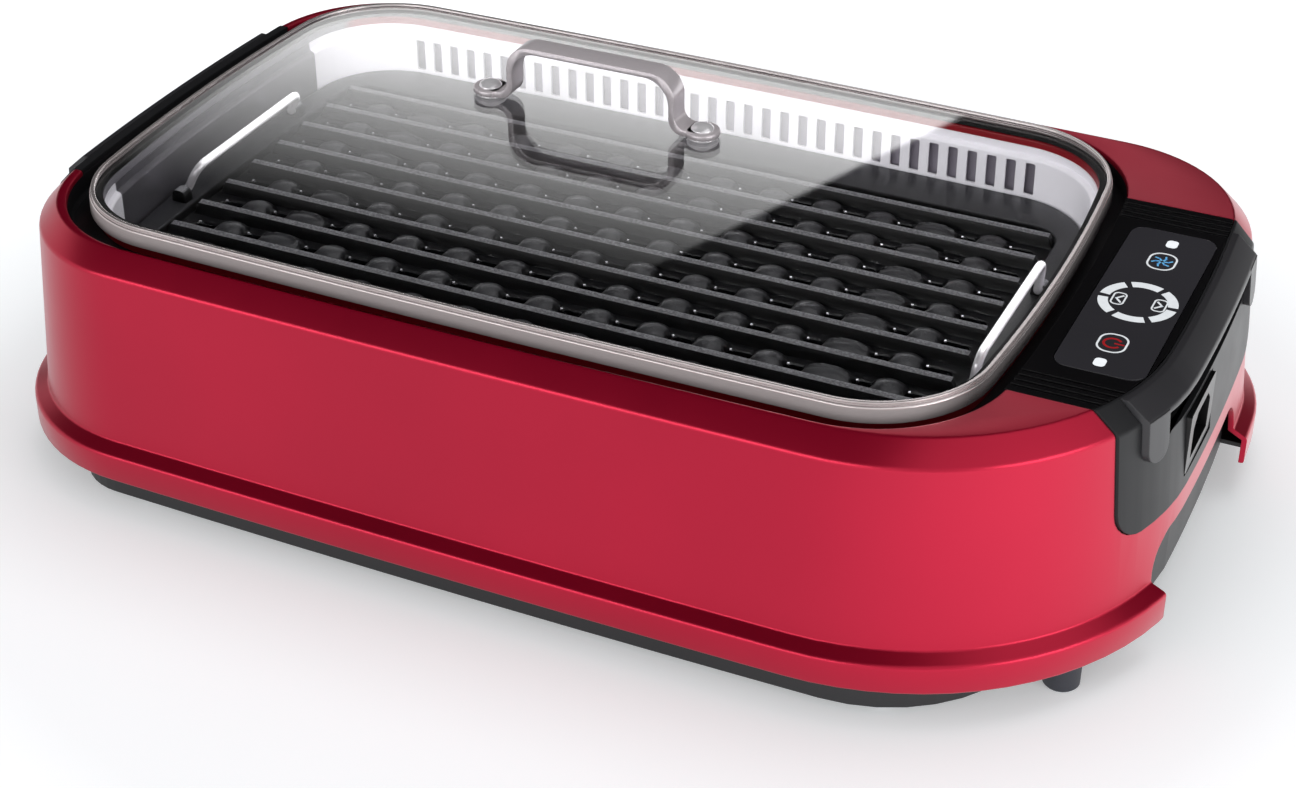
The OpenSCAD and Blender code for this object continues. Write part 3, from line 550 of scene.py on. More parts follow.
M = {
    "red": red_paint(),
    "collar": collar_red(),
    "duct": plastic("duct_grey", (170, 164, 176), 0.5),
    "pan": plastic("pan_black", (34, 34, 36), 0.5, grain=0.05, edge=0.8),
    "rubber": plastic("foot_rubber", (52, 54, 62), 0.6, edge=0.6),
    "ring": plastic("ring_black", (22, 22, 24), 0.35, edge=0.5),
    "deck": plastic("deck_black", (15, 14, 16), 0.34, grain=0.03, edge=0.4),
    "cover": plastic("cover_grey", (34, 34, 36), 0.36, grain=0.03, edge=0.6, shine=0.22),
    # Painted shade: the finger pockets are near black for the shade under the grips
    "recess": plastic("pocket_painted_shade", (7, 7, 8), 0.6, grain=0.03),
    "grip": plastic("grip_grey", (48, 47, 50), 0.34, grain=0.03, edge=0.8),
    "inlet": plastic("inlet_black", (16, 16, 17), 0.3, edge=0.4),
    "plate": cast_black(),
    "chamber": chamber_metal(),
    # Bright metal for the beads that paint the highlight at each slot's end
    "glint": metal("slot_edge_shine", (222, 222, 226), 0.2, scale=300, grain=0.004, strength=0.05, pure=0.9),
    "shield": metal("shield_metal", (170, 170, 172), 0.4),
    "steel": rim_steel(),
    "strap": metal("strap_steel", (222, 214, 218), 0.28, stretch=(1, 12, 1), scale=500, grain=0.012,
                   strength=0.3, edge=0.5, pure=0.42),
    "chrome": metal("bright_chrome", (244, 242, 245), 0.22, scale=300, grain=0.004, strength=0.1, edge=0.4,
                    lo=0.97, hi=1.02, pure=0.5),
    "dark_steel": metal("heater_steel", (74, 70, 68), 0.45, lo=0.7, hi=1.3, scale=120),
    "motor": metal("motor_steel", (120, 120, 124), 0.4),
    "brass": metal("bearing_brass", (190, 150, 84), 0.3),
    "gasket": plastic("gasket_black", (16, 16, 16), 0.65),
    "board": plastic("board_green", (24, 92, 58), 0.45),
    "part": plastic("part_black", (30, 30, 32), 0.4),
    "part_blue": plastic("part_blue", (36, 70, 140), 0.35),
    "lead": plastic("lead_red", (150, 30, 24), 0.5),
    "ceramic": plastic("socket_ceramic", (222, 214, 196), 0.6),
    "tray": plastic("tray_coating", (52, 52, 54), 0.4),
    "glass": clear_glass("lid_glass_clear", (252, 252, 253)),
    "panel": plastic("panel_glass", (50, 49, 53), 0.08, grain=0.002, scale=40, strength=0.02),
    "mark": glow("mark_white", (222, 226, 230), 0.25),
    "led": glow("led_white", (232, 236, 240), 0.35),
    "blue": glow("mark_blue", (96, 168, 214), 0.3),
    "mark_red": glow("mark_red", (150, 14, 22), 0.3),
}

# Housing
FACE = 88.0                         # half width of the end covers
COVER_LOW, COVER_CORNER = 64.0, 14.0
ARCH_HALF, ARCH_TOP, ARCH_CORNER = 64.0, 52.0, 18.0
OUTLET_X, OUTLET_HALF = -25.0, 120.3    # the air outlet in the rear wall
OUTLET_LOW, OUTLET_HIGH = 43.7, 86.3


def across(side, near, far):
    """The range between two distances from the middle at the end side, lower value first."""
    return sorted((side * near, side * far))


def cover_face(margin):
    half, low = FACE + margin, COVER_LOW - margin
    return fillet([(half, DECK + 5), (-half, DECK + 5), (-half, low, COVER_CORNER, 6),
                   (half, low, COVER_CORNER, 6)])


def cover_cut(side):
    return prism(cover_face(0.3), *across(side, A_BODY - 62, A_BODY + 40), "x")


def arch_cut(side):
    face = fillet([(ARCH_HALF, 5), (ARCH_HALF, ARCH_TOP, ARCH_CORNER, 8),
                   (-ARCH_HALF, ARCH_TOP, ARCH_CORNER, 8), (-ARCH_HALF, 5)])
    return prism(face, *across(side, A_BODY - 40, A_BODY + 40), "x")


wall_out = fillet([(SKIRT_IN, 22), (SKIRT_IN, SKIRT), (OUT, SKIRT, 1.2, 3), (OUT, SKIRT_TOP, 2.6, 5),
                   (FLARE, JOIN, 1.5, 4), (0, EDGE, 4.0, 6), (-9, DECK, 2.0, 4), (-14, DECK)],
                  closed=False)[1:-1]
well_rim = [(1.2, DECK), (0.35, DECK - 0.3), (0, DECK - 1.1), (0, 122)]
wall_in = [(-9.5, 122), (-2.5, 113.8), (4, 31.8), (SKIRT_IN, 28.2)]
shell = make("housing_shell", sweep(along(body_line, wall_out) + along(well_line, well_rim)
                                    + along(body_line, wall_in)))
outlet_x = (OUTLET_X - OUTLET_HALF, OUTLET_X + OUTLET_HALF)
outlet = prism([(outlet_x[0], OUTLET_LOW), (outlet_x[1], OUTLET_LOW), (outlet_x[1], OUTLET_HIGH),
                (outlet_x[0], OUTLET_HIGH)], 120, 190, "y")
cut(shell, join(cover_cut(-1), outlet))
cut(shell, cover_cut(1))
cut(shell, join(arch_cut(-1), arch_cut(1)))
settle(shell, "base", M["red"], ["outer_housing"])

# Ring, collar, chamber
ring_out = fillet([(2.2, RING_LOW), (2.2, 119.5), (0.7, 122), (0.1, 122, 0.3, 3), (0, 114.2, 2.0, 4),
                   (-1.6, SEAT_Z)], False)
ring_in = along(cham_line, [(SEAT_IN, SEAT_Z), (SEAT_IN, RING_LOW)])
make("well_ring", sweep(along(well_line, ring_out) + ring_in),
     "base", M["ring"], ["bezel_ring"])
make("seat_collar", band(cham_line, [(SEAT_OUT, SEAT_Z), (SEAT_OUT, COLLAR_TOP, 0.8, 3),
                                     (SEAT_IN, COLLAR_TOP, 0.8, 3), (SEAT_IN, SEAT_Z)]),
     "base", M["collar"], ["lid_collar"])
liner = make("chamber", band(cham_line, [
    (SEAT_IN, 110.8), (SEAT_IN, 112), (SEAT_IN - 0.05, 116.5), (2.7, 116.5), (2.7, 112.6), (0, 112, 2.5, 5),
    (0, CHAM_LOW), (1.2, CHAM_LOW), (1.2, 110.8, 2, 3)]))
make("duct_wall", cube(-200, 158, 131, 131.6, 88, 114), "base", M["duct"], ())
SLOT_COUNT, SLOT_STEP, SLOT_W, SLOT_H, SLOT_Z = 35, 9.7, 4.9, 16.5, 93.0
slots = []
for i in range(SLOT_COUNT):
    centre = (LX + (i - SLOT_COUNT // 2) * SLOT_STEP, SLOT_Z + SLOT_H / 2)
    slots.append(prism(round_rect(SLOT_W, SLOT_H, 0.8, centre, 3), 120, 140, "y"))
cut(liner, join(*slots))
settle(liner, "base", M["chamber"], ["inner_liner"])
tub_prof = fillet([(-20, 23.8), (-10.8, 23.8, 5, 5), (-10.8, 82.8, 0.6, 2), (1.2, 82.8, 0.5, 2),
                   (1.2, CHAM_LOW), (-12, CHAM_LOW, 0.6, 3), (-12, 25, 4, 5), (-20, 25)], closed=False)
make("chamber_tub", sweep(along(cham_line, tub_prof), closed=False, cap=True),
     "base", M["chamber"], ["lower_tub"], angle=40)

# Lid
make("lid_pane", slab(lambda d: lid_line(-1.25 + d), GLASS_Z, GLASS_TOP, 0.8),
     "lid", M["glass"], ["lid_glass"], angle=8)
make("rim_band", band(lid_line, [
    (0, 118.8, 0.4, 2), (-0.35, 125.9, 0.9, 4), (-1.5, 126.3), (-1.5, 126.9), (-0.9, LID_TOP, 0.6, 4),
    (-3, LID_TOP, 0.5, 3), (-3, GLASS_TOP + 0.05), (-1.2, GLASS_TOP + 0.05), (-1.2, GLASS_Z - 0.05),
    (-2.5, GLASS_Z - 0.05, 0.3, 2), (-2.5, 121.6, 0.3, 2), (-1.2, 121.6, 0.5, 3), (-1.2, 118.8, 0.4, 2)]),
     "lid", M["steel"], ["lid_rim"])
make("lid_seal", band(cham_line, [(SEAT_OUT, SEAL_Z, 0.4, 2), (SEAT_OUT, GLASS_Z - 0.1),
                                  (SEAT_IN, GLASS_Z - 0.1), (SEAT_IN, SEAL_Z, 0.4, 2)]),
     "lid", M["gasket"], ["lid_gasket"])

# The lid's handle: a bent strap with a round ear, a rivet and two washers at each end
HANDLE_X, HANDLE_Y = LX - 31, LY + 55
EAR_X, KNEE_X = 56.0, 44.0          # from the strap's middle to its ears and to its knees
BEND, FOOT_BEND = 16.0, 9.0
STRAP_T, STRAP_H, STRAP_HALF = 3.0, 32.0, 6.2
WASHER_T = 1.4
STRAP_Z = GLASS_TOP + WASHER_T
inner_knee, inner_top, inner_bend = KNEE_X - STRAP_T, STRAP_H - 2 * STRAP_T, BEND - STRAP_T
strap = fillet([
    (-EAR_X, 0), (-EAR_X, STRAP_T), (-KNEE_X, STRAP_T, FOOT_BEND, 8), (-KNEE_X, STRAP_H - STRAP_T, BEND, 14),
    (KNEE_X, STRAP_H - STRAP_T, BEND, 14), (KNEE_X, STRAP_T, FOOT_BEND, 8), (EAR_X, STRAP_T), (EAR_X, 0),
    (inner_knee, 0, FOOT_BEND + STRAP_T, 8), (inner_knee, inner_top, inner_bend, 10),
    (-inner_knee, inner_top, inner_bend, 10), (-inner_knee, 0, FOOT_BEND + STRAP_T, 8)])
bar = prism([(HANDLE_X + u, STRAP_Z + v) for u, v in strap],
            HANDLE_Y - STRAP_HALF, HANDLE_Y + STRAP_HALF, "y")
ear = [(0, 0), (7.9, 0), (8.4, 0.5), (8.4, STRAP_T - 0.6), (7.8, STRAP_T), (0, STRAP_T)]
head = [(0, 2.7), (1.8, 2.55), (3.4, 2.1), (4.6, 1.4), (5.4, 0.6), (5.6, 0)]
top = STRAP_Z + STRAP_T
rivet = [(r, top + h) for r, h in head] + [
    (2.5, top), (2.5, GLASS_Z - 1.6), (5.5, GLASS_Z - 1.6), (5.5, GLASS_Z - 2.8), (4.9, GLASS_Z - 3.4),
    (0, GLASS_Z - 3.4)]
upper_washer = [(2.7, 126.8), (7.2, 126.8), (7.5, 127.1), (7.5, 127.8), (7.1, 128.2), (2.7, 128.2),
                (2.7, 126.8)]
lower_washer = [(2.7, 121.2), (7.2, 121.2), (7.5, 121.5), (7.5, 122.8), (2.7, 122.8), (2.7, 121.2)]
seats = [(HANDLE_X + s * EAR_X, HANDLE_Y) for s in (-1, 1)]
make("lid_strap", join(bar, *[lathe([(r, STRAP_Z + h) for r, h in ear], at) for at in seats]),
     "lid", M["strap"], ["lid_handle"], bevel=0.9, steps=3)
make("strap_rivets", join(*[lathe(rivet, at) for at in seats]),
     "lid", M["chrome"], ["lid_rivets"])
make("strap_washers", join(*[lathe(prof, at) for at in seats for prof in (upper_washer, lower_washer)]),
     "lid", M["chrome"], ["handle_washers"])

# Plate: ridges along X, and between them rows of domes with a slot after each
PITCH, DOME = 22.8, 27.1            # from ridge to ridge, and from dome to dome
RIDGE_HALF, RIDGE_SIDE = 188.0, 1.9  # half length and half width of a ridge
RIDGES, DOMES = 9, 13
HUMPS = (1, 11)                     # the columns whose domes are wide and low, with a small arc on top
DOME_RX, DOME_RY, DOME_H = 8.6, 8.2, 4.1
HUMP_RX, HUMP_H = 13.0, 3.6
SLOT_DEPTH, LIP_DEPTH = 9.0, 0.7     # the slot itself, and the soft dip round its mouth
ROW0 = RIDGE_MID - (RIDGES - 1) / 2 * PITCH
FIELD_X, FIELD_Y = RIDGE_HALF + 6, RIDGES * PITCH / 2 + 2   # half sizes of the sunken field


def dome_x(j):
    return LX + (j - (DOMES - 1) / 2) * DOME


def row_y(row):
    return ROW0 + (row + 0.5) * PITCH


SLOTS = []                          # middle and half length of each slot in a row
for k in range(-1, DOMES):
    after, before = k in HUMPS, k + 1 in HUMPS
    SLOTS.append((dome_x(k + 0.5) + 2.2 * after - 2.0 * before, 3.9 - 1.6 * (after or before)))


def smooth(e0, e1, x):
    t = max(0.0, min(1.0, (x - e0) / (e1 - e0)))
    return t * t * (3 - 2 * t)


def ridge_height(x, y):
    k = (y - ROW0) / PITCH
    i = round(k)
    if not 0 <= i < RIDGES:
        return 0.0
    drop = 0.45 * smooth(1.7, -0.6, (k - i) * PITCH)
    side = smooth(RIDGE_SIDE + 0.9, RIDGE_SIDE - 0.3, abs(k - i) * PITCH)
    return smooth(RIDGE_HALF + 1.5, RIDGE_HALF - 1.5, abs(x - LX)) * (RIDGE_TOP - PLATE_FLOOR - drop) * side


def dome_height(x, dy):
    j = round((x - LX) / DOME + (DOMES - 1) / 2)
    dx = x - dome_x(j)
    if j in HUMPS:
        q = math.hypot(dx / HUMP_RX, dy / DOME_RY)
        arc_ridge = 0.9 * smooth(1.1, 0.4, abs(dy - 3.4 + dx * dx / 34)) * smooth(10.5, 9, abs(dx))
        return HUMP_H * (1 - q * q) ** 0.6 + arc_ridge if q < 1 else 0.0
    q = math.hypot(dx / DOME_RX, dy / DOME_RY)
    return DOME_H * math.sqrt(1 - q * q) if 0 <= j < DOMES and q < 1 else 0.0


def slot_depth(x, dy):
    depth = 0.0
    for middle, half in SLOTS:
        q = math.hypot(max(0.0, abs(x - middle) - half), dy)
        if q < 4:
            depth += SLOT_DEPTH * smooth(2.6, 1.8, q) + LIP_DEPTH * smooth(3.8, 2.4, q)
    return depth


def plate_height(x, y):
    z = PLATE_FLOOR + ridge_height(x, y)
    row = math.floor((y - ROW0) / PITCH)
    if 0 <= row < RIDGES - 1:
        dy = y - row_y(row)
        z += dome_height(x, dy) - slot_depth(x, dy)
    return z


def row_lines(step):
    """Y positions over the field, closer together at the sides of each ridge."""
    near = (-2.9, -2.5, -2.2, -1.9, -1.6, -1.2, -0.6, 0, 0.6, 1.2, 1.6, 1.9, 2.2, 2.5, 2.9)
    free = PITCH - 2 * near[-1]
    n = round(free / step)
    out = []
    for k in range(RIDGES + 1):
        y = ROW0 + k * PITCH
        out += [y + d for d in near]
        out += [y + near[-1] + free * i / n for i in range(1, n)]
    inside = [y for y in sorted(out) if abs(y - RIDGE_MID) < FIELD_Y - 0.2]
    return [RIDGE_MID - FIELD_Y] + inside + [RIDGE_MID + FIELD_Y]


def grid(xs, ys, height):
    n = len(xs)
    verts = [(x, y, height(x, y)) for y in ys for x in xs]
    faces = [(j * n + i, j * n + i + 1, (j + 1) * n + i + 1, (j + 1) * n + i)
             for j in range(len(ys) - 1) for i in range(n - 1)]
    return verts, faces


def field_line(d):
    return oblong((RIDGE_HALF + 4, RIDGES * PITCH / 2), (14, 14, 14), (2, 1), d, (LX, RIDGE_MID))


columns, row_step = ((420, 0.85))
column_lines = [LX - FIELD_X + 2 * FIELD_X * i / columns for i in range(columns + 1)]
field = grid(column_lines, row_lines(row_step), plate_height)
border = sweep(along(cham_line, [(-1.5, 84.3), (-1.5, 91.5), (-1.8, 92.1), (-2.5, PLATE_TOP)])
               + along(field_line, [(0.6, PLATE_TOP), (-0.2, 92.0), (-0.6, 91.3), (-1.6, 88.2),
                                    (-2.0, PLATE_LOW)])
               + along(cham_line, [(-14, PLATE_LOW), (-14, 84.3)]))
make("ridged_plate", join(field, border), "plate", M["plate"], ["grill_plate"], angle=50)

# Small bright metal beads at the left end of each slot: a painted highlight standing in for the lit edge
# there
beads = []
for row in range(RIDGES - 1):
    for middle, half in SLOTS:
        x, y, z = middle - half, row_y(row), PLATE_FLOOR + 0.3
        beads.append(tube([(x - 1.3, y + 1.9, z), (x - 0.4, y + 2.3, z)], 0.75, 10))
make("slot_glints", join(*beads), "plate", M["glint"], (), angle=60)

# Wire handles on lugs
LUG_X, LUG_Y = 197.5, 50.5          # from the chamber's middle, and from the wire's middle
WIRE_HALF, WIRE_R, WIRE_BEND = 45.0, 2.0, 8.0
RIGHT_Y = LY - 14                   # the right wire sits further to the front
lugs = []
for side, middle in ((-1, LY), (1, RIGHT_Y)):
    for t in (-1, 1):
        x, y = LX + side * LUG_X, middle + t * LUG_Y
        prof = fillet([(x - 4, PLATE_TOP - 0.5), (x + 4, PLATE_TOP - 0.5), (x + 3.4, 98.4, 3, 6),
                       (x - 3.4, 98.4, 3, 6)])
        lugs.append(prism(prof, y - 3, y + 3, "y"))
make("wire_lugs", join(*lugs), "plate", M["plate"], ["handle_lugs"], bevel=0.5)


def wire(side, middle, rise, lean):
    """A bow of wire that leans outwards by an angle in degrees."""
    flat = fillet([(-WIRE_HALF - 8, 0), (-WIRE_HALF, 0, 2.2, 6), (-WIRE_HALF, rise, WIRE_BEND, 10),
                   (WIRE_HALF, rise, WIRE_BEND, 10), (WIRE_HALF, 0, 2.2, 6), (WIRE_HALF + 8, 0)],
                  closed=False)
    a = math.radians(-side * lean)
    x, z = LX + side * LUG_X, PLATE_TOP + 3.5
    return tube([(x + v * math.sin(a), middle + u, z + v * math.cos(a)) for u, v in flat], WIRE_R, 20)


make("left_wire_bow", wire(-1, LY, 14.0, 28),
     "left_wire", M["chrome"], ["wire_handle_left"], angle=60)
make("right_wire_bow", wire(1, RIGHT_Y, 17.0, -6),
     "right_wire", M["chrome"], ["wire_handle_right"], angle=60)


# End covers and grips
def end_arc(d, side, half):
    """The stretch of the housing's outline at one end within half of the middle, in equal steps of Y."""
    line = sorted([p for p in body_line(d) if p[0] * side > 0], key=lambda p: p[1])
    steps, out = 60, []
    for k in range(steps + 1):
        y = -half + 2 * half * k / steps
        for (xa, ya), (xb, yb) in zip(line, line[1:]):
            if ya <= y <= yb:
                t = (y - ya) / max(yb - ya, 1e-9)
                out.append((xa + (xb - xa) * t, y))
                break
    return out


def end_band(side, prof, half):
    """A closed section swept along one end, with flat ends."""
    rows = [[(x, y, z) for x, y in end_arc(d, side, half)] for d, z in prof]
    m, n = len(rows), len(rows[0])
    verts = [p for r in rows for p in r]
    faces = [(k * n + i, k * n + i + 1, ((k + 1) % m) * n + i + 1, ((k + 1) % m) * n + i)
             for k in range(m) for i in range(n - 1)]
    faces += [tuple(k * n for k in range(m)), tuple(k * n + n - 1 for k in reversed(range(m)))]
    return verts, faces


def wall_at(z):
    """How far the housing's wall stands out at a height."""
    return FLARE * (EDGE - z) / (EDGE - JOIN)


GAP_Z, GAP_H = 101.5, 12.0          # the finger gap's lower edge and height
GAP_TOP = GAP_Z + GAP_H
GAP_HALF = 62.0
LEFT_LIP = 6.5                      # height of the left gap's deep part
POCKET_T = 2.0                      # thickness of the pocket's walls
FAR = 300                           # beyond either end
INLET = (-37.5, 3.5, 69.75, 99.25)  # Y and Z ranges of the hole for the power inlet


def end_cover(side, low):
    """The face with its finger gap, and the pocket behind the gap, which is deep up to the height low."""
    inner = -9.0 if side > 0 else -12.4
    prof = fillet([(inner, DECK), (-8, DECK, 1.2, 3), (1.0, EDGE, 3.5, 6), (1 + wall_at(60), 60),
                   (wall_at(60) - 1.5, 60), (-2.5, 113.8), (inner, 122)])
    ob = make("tmp", end_band(side, prof, FACE + 0.9))
    cut(ob, prism(cover_face(0), *across(side, 219, FAR), "x"), "INTERSECT")
    gap = round_rect(2 * GAP_HALF, GAP_H, 5.9, (0, GAP_Z + GAP_H / 2), 8)
    holes = [prism(gap, *across(side, A_BODY - 20, FAR), "x")]
    if side > 0:
        holes.append(cube(A_BODY - 30, FAR, *INLET))
    cut(ob, join(*holes))
    if side < 0:
        cut(ob, join(prism(well_line(0), 121, 126), prism(well_line(2.5), 110.2, 122)))
    stepped = low < GAP_H
    deep = side * (A_BODY - 19)
    mouth = side * (A_BODY - 8) if stepped else deep
    front, lip, wall = side * 258.5, side * 257, side * POCKET_T
    section = [(deep - wall, GAP_Z - POCKET_T), (front, GAP_Z - POCKET_T), (front, GAP_Z), (deep, GAP_Z),
               (deep, GAP_Z + low)]
    section += [(mouth, GAP_Z + low), (mouth, GAP_TOP)] if stepped else [(deep, GAP_TOP)]
    section += [(lip, GAP_TOP), (lip, GAP_TOP + POCKET_T), (mouth - wall, GAP_TOP + POCKET_T)]
    ends = [(deep - wall, GAP_Z - POCKET_T), (lip, GAP_Z - POCKET_T), (lip, GAP_TOP + POCKET_T),
            (mouth - wall, GAP_TOP + POCKET_T)]
    if stepped:
        step = [(mouth - wall, GAP_Z + low + POCKET_T), (deep - wall, GAP_Z + low + POCKET_T)]
        section += step
        ends += step
    caps = [prism(ends, *across(t, GAP_HALF, GAP_HALF + POCKET_T), "y") for t in (-1, 1)]
    return take(ob), join(prism(section, -GAP_HALF, GAP_HALF, "y"), *caps)


for name, side, low in (("right", 1, GAP_H), ("left", -1, LEFT_LIP)):
    face, recess = end_cover(side, low)
    make(name + "_cover", face, "base", M["cover"], [name + "_end_cover"])
    # The pocket is near black as painted shade
    make(name + "_recess", recess, "base", M["recess"], [name + "_end_cover"])

GRIP_HALF, GRIP_LOW = 76.0, 95.5    # half width of the grip, and lower edge of its two tongues
GRIP_IN, GRIP_OUT = 0.9, 4.0        # the grip's faces, outside the housing's top line


def grip(side):
    """A bar over the finger gap with a tongue down each side of it."""
    bar = fillet([(GRIP_IN, 113.5), (GRIP_OUT + 0.1, 113.5, 1.2, 4), (GRIP_OUT, EDGE + 1.2, 3.5, 6),
                  (-5.2, DECK, 1.4, 4), (-8.0, DECK), (GRIP_IN, EDGE)])
    ob = make("tmp", end_band(side, bar, GRIP_HALF))
    skin = fillet([(GRIP_IN + wall_at(90), 90), (GRIP_OUT + wall_at(90), 90), (GRIP_OUT, EDGE + 1.2),
                   (GRIP_IN, EDGE + 1.2)])
    tongues = []
    for t in (-1, 1):
        face = fillet([(t * GRIP_HALF, 118), (t * GRIP_HALF, GRIP_LOW, 6.9, 8),
                       (t * GAP_HALF, GRIP_LOW, 6.9, 8), (t * GAP_HALF, 118)])
        piece = make("tmp2", end_band(side, skin, GRIP_HALF + 6))
        cut(piece, prism(face, *across(side, 200, FAR), "x"), "INTERSECT")
        tongues.append(take(piece))
    for tongue in tongues:
        cut(ob, tongue, "UNION")
    return take(ob)


make("right_grip_bar", grip(1), "base", M["grip"], ["right_grip"])
make("left_grip_bar", grip(-1), "base", M["grip"], ["left_grip"])

# Panel: a pane with its marks
PANEL = (227.0, 1.5)
PANEL_W, PANEL_L, PANEL_CORNER = 38, 126, 6.7
PANE_TOP, MARK_T = DECK + 0.4, 0.06
DIAL, FAN, POWER = (227.4, -0.8), (227.6, 37.0), (226.9, -37.2)


def pane_line(d):
    return round_rect(PANEL_W + 2 * d, PANEL_L + 2 * d, PANEL_CORNER + d, PANEL, 8)


def mark(name, polys, mat):
    make(name, join(*[prism(p, PANE_TOP, PANE_TOP + MARK_T) for p in polys]), "base", M[mat], ())


def ring_part(centre, r0, r1, a0, a1, steps=10):
    """A stretch of a flat ring between two angles in degrees."""
    a0, a1 = math.radians(a0), math.radians(a1)
    return arc(centre, r1, a0, a1, steps) + arc(centre, r0, a1, a0, steps)


def hoop(centre, w, h, r, t):
    """A thin rounded outline, lying on the pane."""
    outer, inner = round_rect(w, h, r, centre, 8), round_rect(w - 2 * t, h - 2 * t, r - t, centre, 8)
    low, high = PANE_TOP, PANE_TOP + MARK_T
    edges = ((outer, low), (outer, high), (inner, high), (inner, low))
    return rings_mesh([[(x, y, z) for x, y in p] for p, z in edges])


def stroke(pts, w):
    """Short flat bars that follow a list of points."""
    out = []
    for (xa, ya), (xb, yb) in zip(pts, pts[1:]):
        u = Vector((xb - xa, yb - ya)).normalized() * (w / 2)
        out.append([(xa - u.x - u.y, ya - u.y + u.x), (xa - u.x + u.y, ya - u.y - u.x),
                    (xb + u.x + u.y, yb + u.y - u.x), (xb + u.x - u.y, yb + u.y + u.x)])
    return out


def polar(centre, r, angle):
    a = math.radians(angle)
    return centre[0] + r * math.cos(a), centre[1] + r * math.sin(a)


make("panel_pane", slab(pane_line, DECK - 1.6, PANE_TOP, 0.35),
     "base", M["panel"], ["touch_glass"], angle=8)
mark("dial_bars", [ring_part(DIAL, 12.4, 16.7, i * 60 + 5, i * 60 + 55) for i in range(6)], "mark")
mark("panel_dots", [round_rect(5.0, 6.6, 1.9, (227.7, 53.6)), round_rect(5.0, 6.4, 1.9, (226.3, -53.6))],
     "led")
buttons = [hoop(at, 12.4, 15.2, 5.4, 0.85) for at in (FAN, POWER)]
buttons += [hoop(at, 5.9, 10.4, 2.3, 0.7) for at in ((219.3, -1.2), (236.4, 0.0))]
make("button_hoops", join(*buttons), "base", M["mark"], ())
mark("arrow_marks", stroke([(220.6, 1.5), (218.3, -1.2), (220.6, -3.9)], 0.9)
     + stroke([(235.1, 2.6), (237.4, 0.0), (235.1, -2.6)], 0.9), "mark")
blades = []
for i in range(6):
    blades += stroke([polar(FAN, r, i * 60 + turn) for r, turn in ((1.2, 0), (2.8, 6), (4.3, 20))], 0.8)
mark("fan_mark", blades, "blue")
mark("power_mark", [ring_part(POWER, 3.1, 4.2, 35, 325, 24)]
     + stroke([(POWER[0] + 1.2, POWER[1]), (POWER[0] + 4.4, POWER[1])], 1.0), "mark_red")

# Carried CAD nodes
CARRIED = {
    "pan": "base_pan",
    "rubber": "feet",
    "chrome": "foot_screws case_screws wheel_shaft inlet_pins heater_pins temperature_probe",
    "shield": "heat_shield blower_wheel",
    "part": "blower_housing board_parts",
    "motor": "blower_motor",
    "brass": "wheel_bearings",
    "ring": "rear_grille",
    "deck": "control_deck",
    "led": "light_bars",
    "board": "control_board power_board",
    "part_blue": "power_parts",
    "inlet": "power_inlet",
    "lead": "inlet_leads",
    "ceramic": "heater_socket",
    "tray": "drip_tray",
    "dark_steel": "heating_tube",
}
for key, names in CARRIED.items():
    for name in names.split():
        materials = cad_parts[name].data.materials
        materials.clear()
        materials.append(M[key])

# Camera
lens = bpy.data.cameras.new("camera")
lens.sensor_width = 36.0
lens.lens = 67.46
camera = bpy.data.objects.new("camera", lens)
camera.location = (0.4112, -0.8780, 0.6378)
camera.rotation_euler = (math.radians(57.39), 0, math.radians(24.995))
scene.collection.objects.link(camera)
scene.camera = camera
scene.view_settings.view_transform = "Standard"


# Lamps, in metres and watts
def area(name, loc, aim, size, energy, size_y=None, seen=True):
    lamp = bpy.data.lights.new(name, "AREA")
    lamp.shape = "RECTANGLE"
    lamp.size = size
    lamp.size_y = size_y or size
    lamp.energy = energy
    ob = bpy.data.objects.new(name, lamp)
    ob.location = loc
    ob.rotation_euler = (Vector(aim) - Vector(loc)).to_track_quat("-Z", "Y").to_euler()
    ob.visible_glossy = seen
    scene.collection.objects.link(ob)


def only_for(source, *names):
    """Limits a card or lamp to the named pieces."""
    group = bpy.data.collections.new(source + "_receivers")
    for name in names:
        group.objects.link(bpy.data.objects[name])
    bpy.data.objects[source].light_linking.receiver_collection = group


area("front", (-0.7, -2.2, 0.75), (0, 0, 0.08), 2.4, 17, size_y=0.6)
area("side", (2.0, -0.7, 0.6), (0, 0, 0.08), 1.2, 10, size_y=0.6)
area("top", (0.1, 0.5, 1.7), (0, 0, 0.1), 1.5, 9, size_y=1.0, seen=False)

# World: soft grey light, and white where the camera, glass or gloss looks past the floor
world = bpy.data.worlds.new("studio")
scene.world = world
world.use_nodes = True
wt = world.node_tree
soft = wt.nodes["Background"]
soft.inputs["Color"].default_value = (1, 1, 1, 1)
soft.inputs["Strength"].default_value = 0.45
white = wt.nodes.new("ShaderNodeBackground")
white.inputs["Strength"].default_value = 1.0
rays = wt.nodes.new("ShaderNodeLightPath").outputs
looking = math_node(wt, "MAXIMUM", rays["Is Camera Ray"], rays["Is Transmission Ray"])
looking = math_node(wt, "MAXIMUM", looking, rays["Is Glossy Ray"])
mix_shaders(wt, looking, soft.outputs[0], white.outputs[0], wt.nodes["World Output"].inputs["Surface"])


# Cards that only mirror-like reflections see
def reflector(name, verts, shade):
    """A card whose emission strength is set by the function shade."""
    ob = make(name, (verts, [(0, 1, 2, 3)]))
    m = bpy.data.materials.new(name)
    m.use_nodes = True
    t = m.node_tree
    t.nodes.clear()
    em, out = t.nodes.new("ShaderNodeEmission"), t.nodes.new("ShaderNodeOutputMaterial")
    shade(t, em.inputs["Strength"])
    t.links.new(em.outputs[0], out.inputs["Surface"])
    ob.data.materials.append(m)
    ob.visible_camera = ob.visible_diffuse = ob.visible_shadow = ob.visible_volume_scatter = False


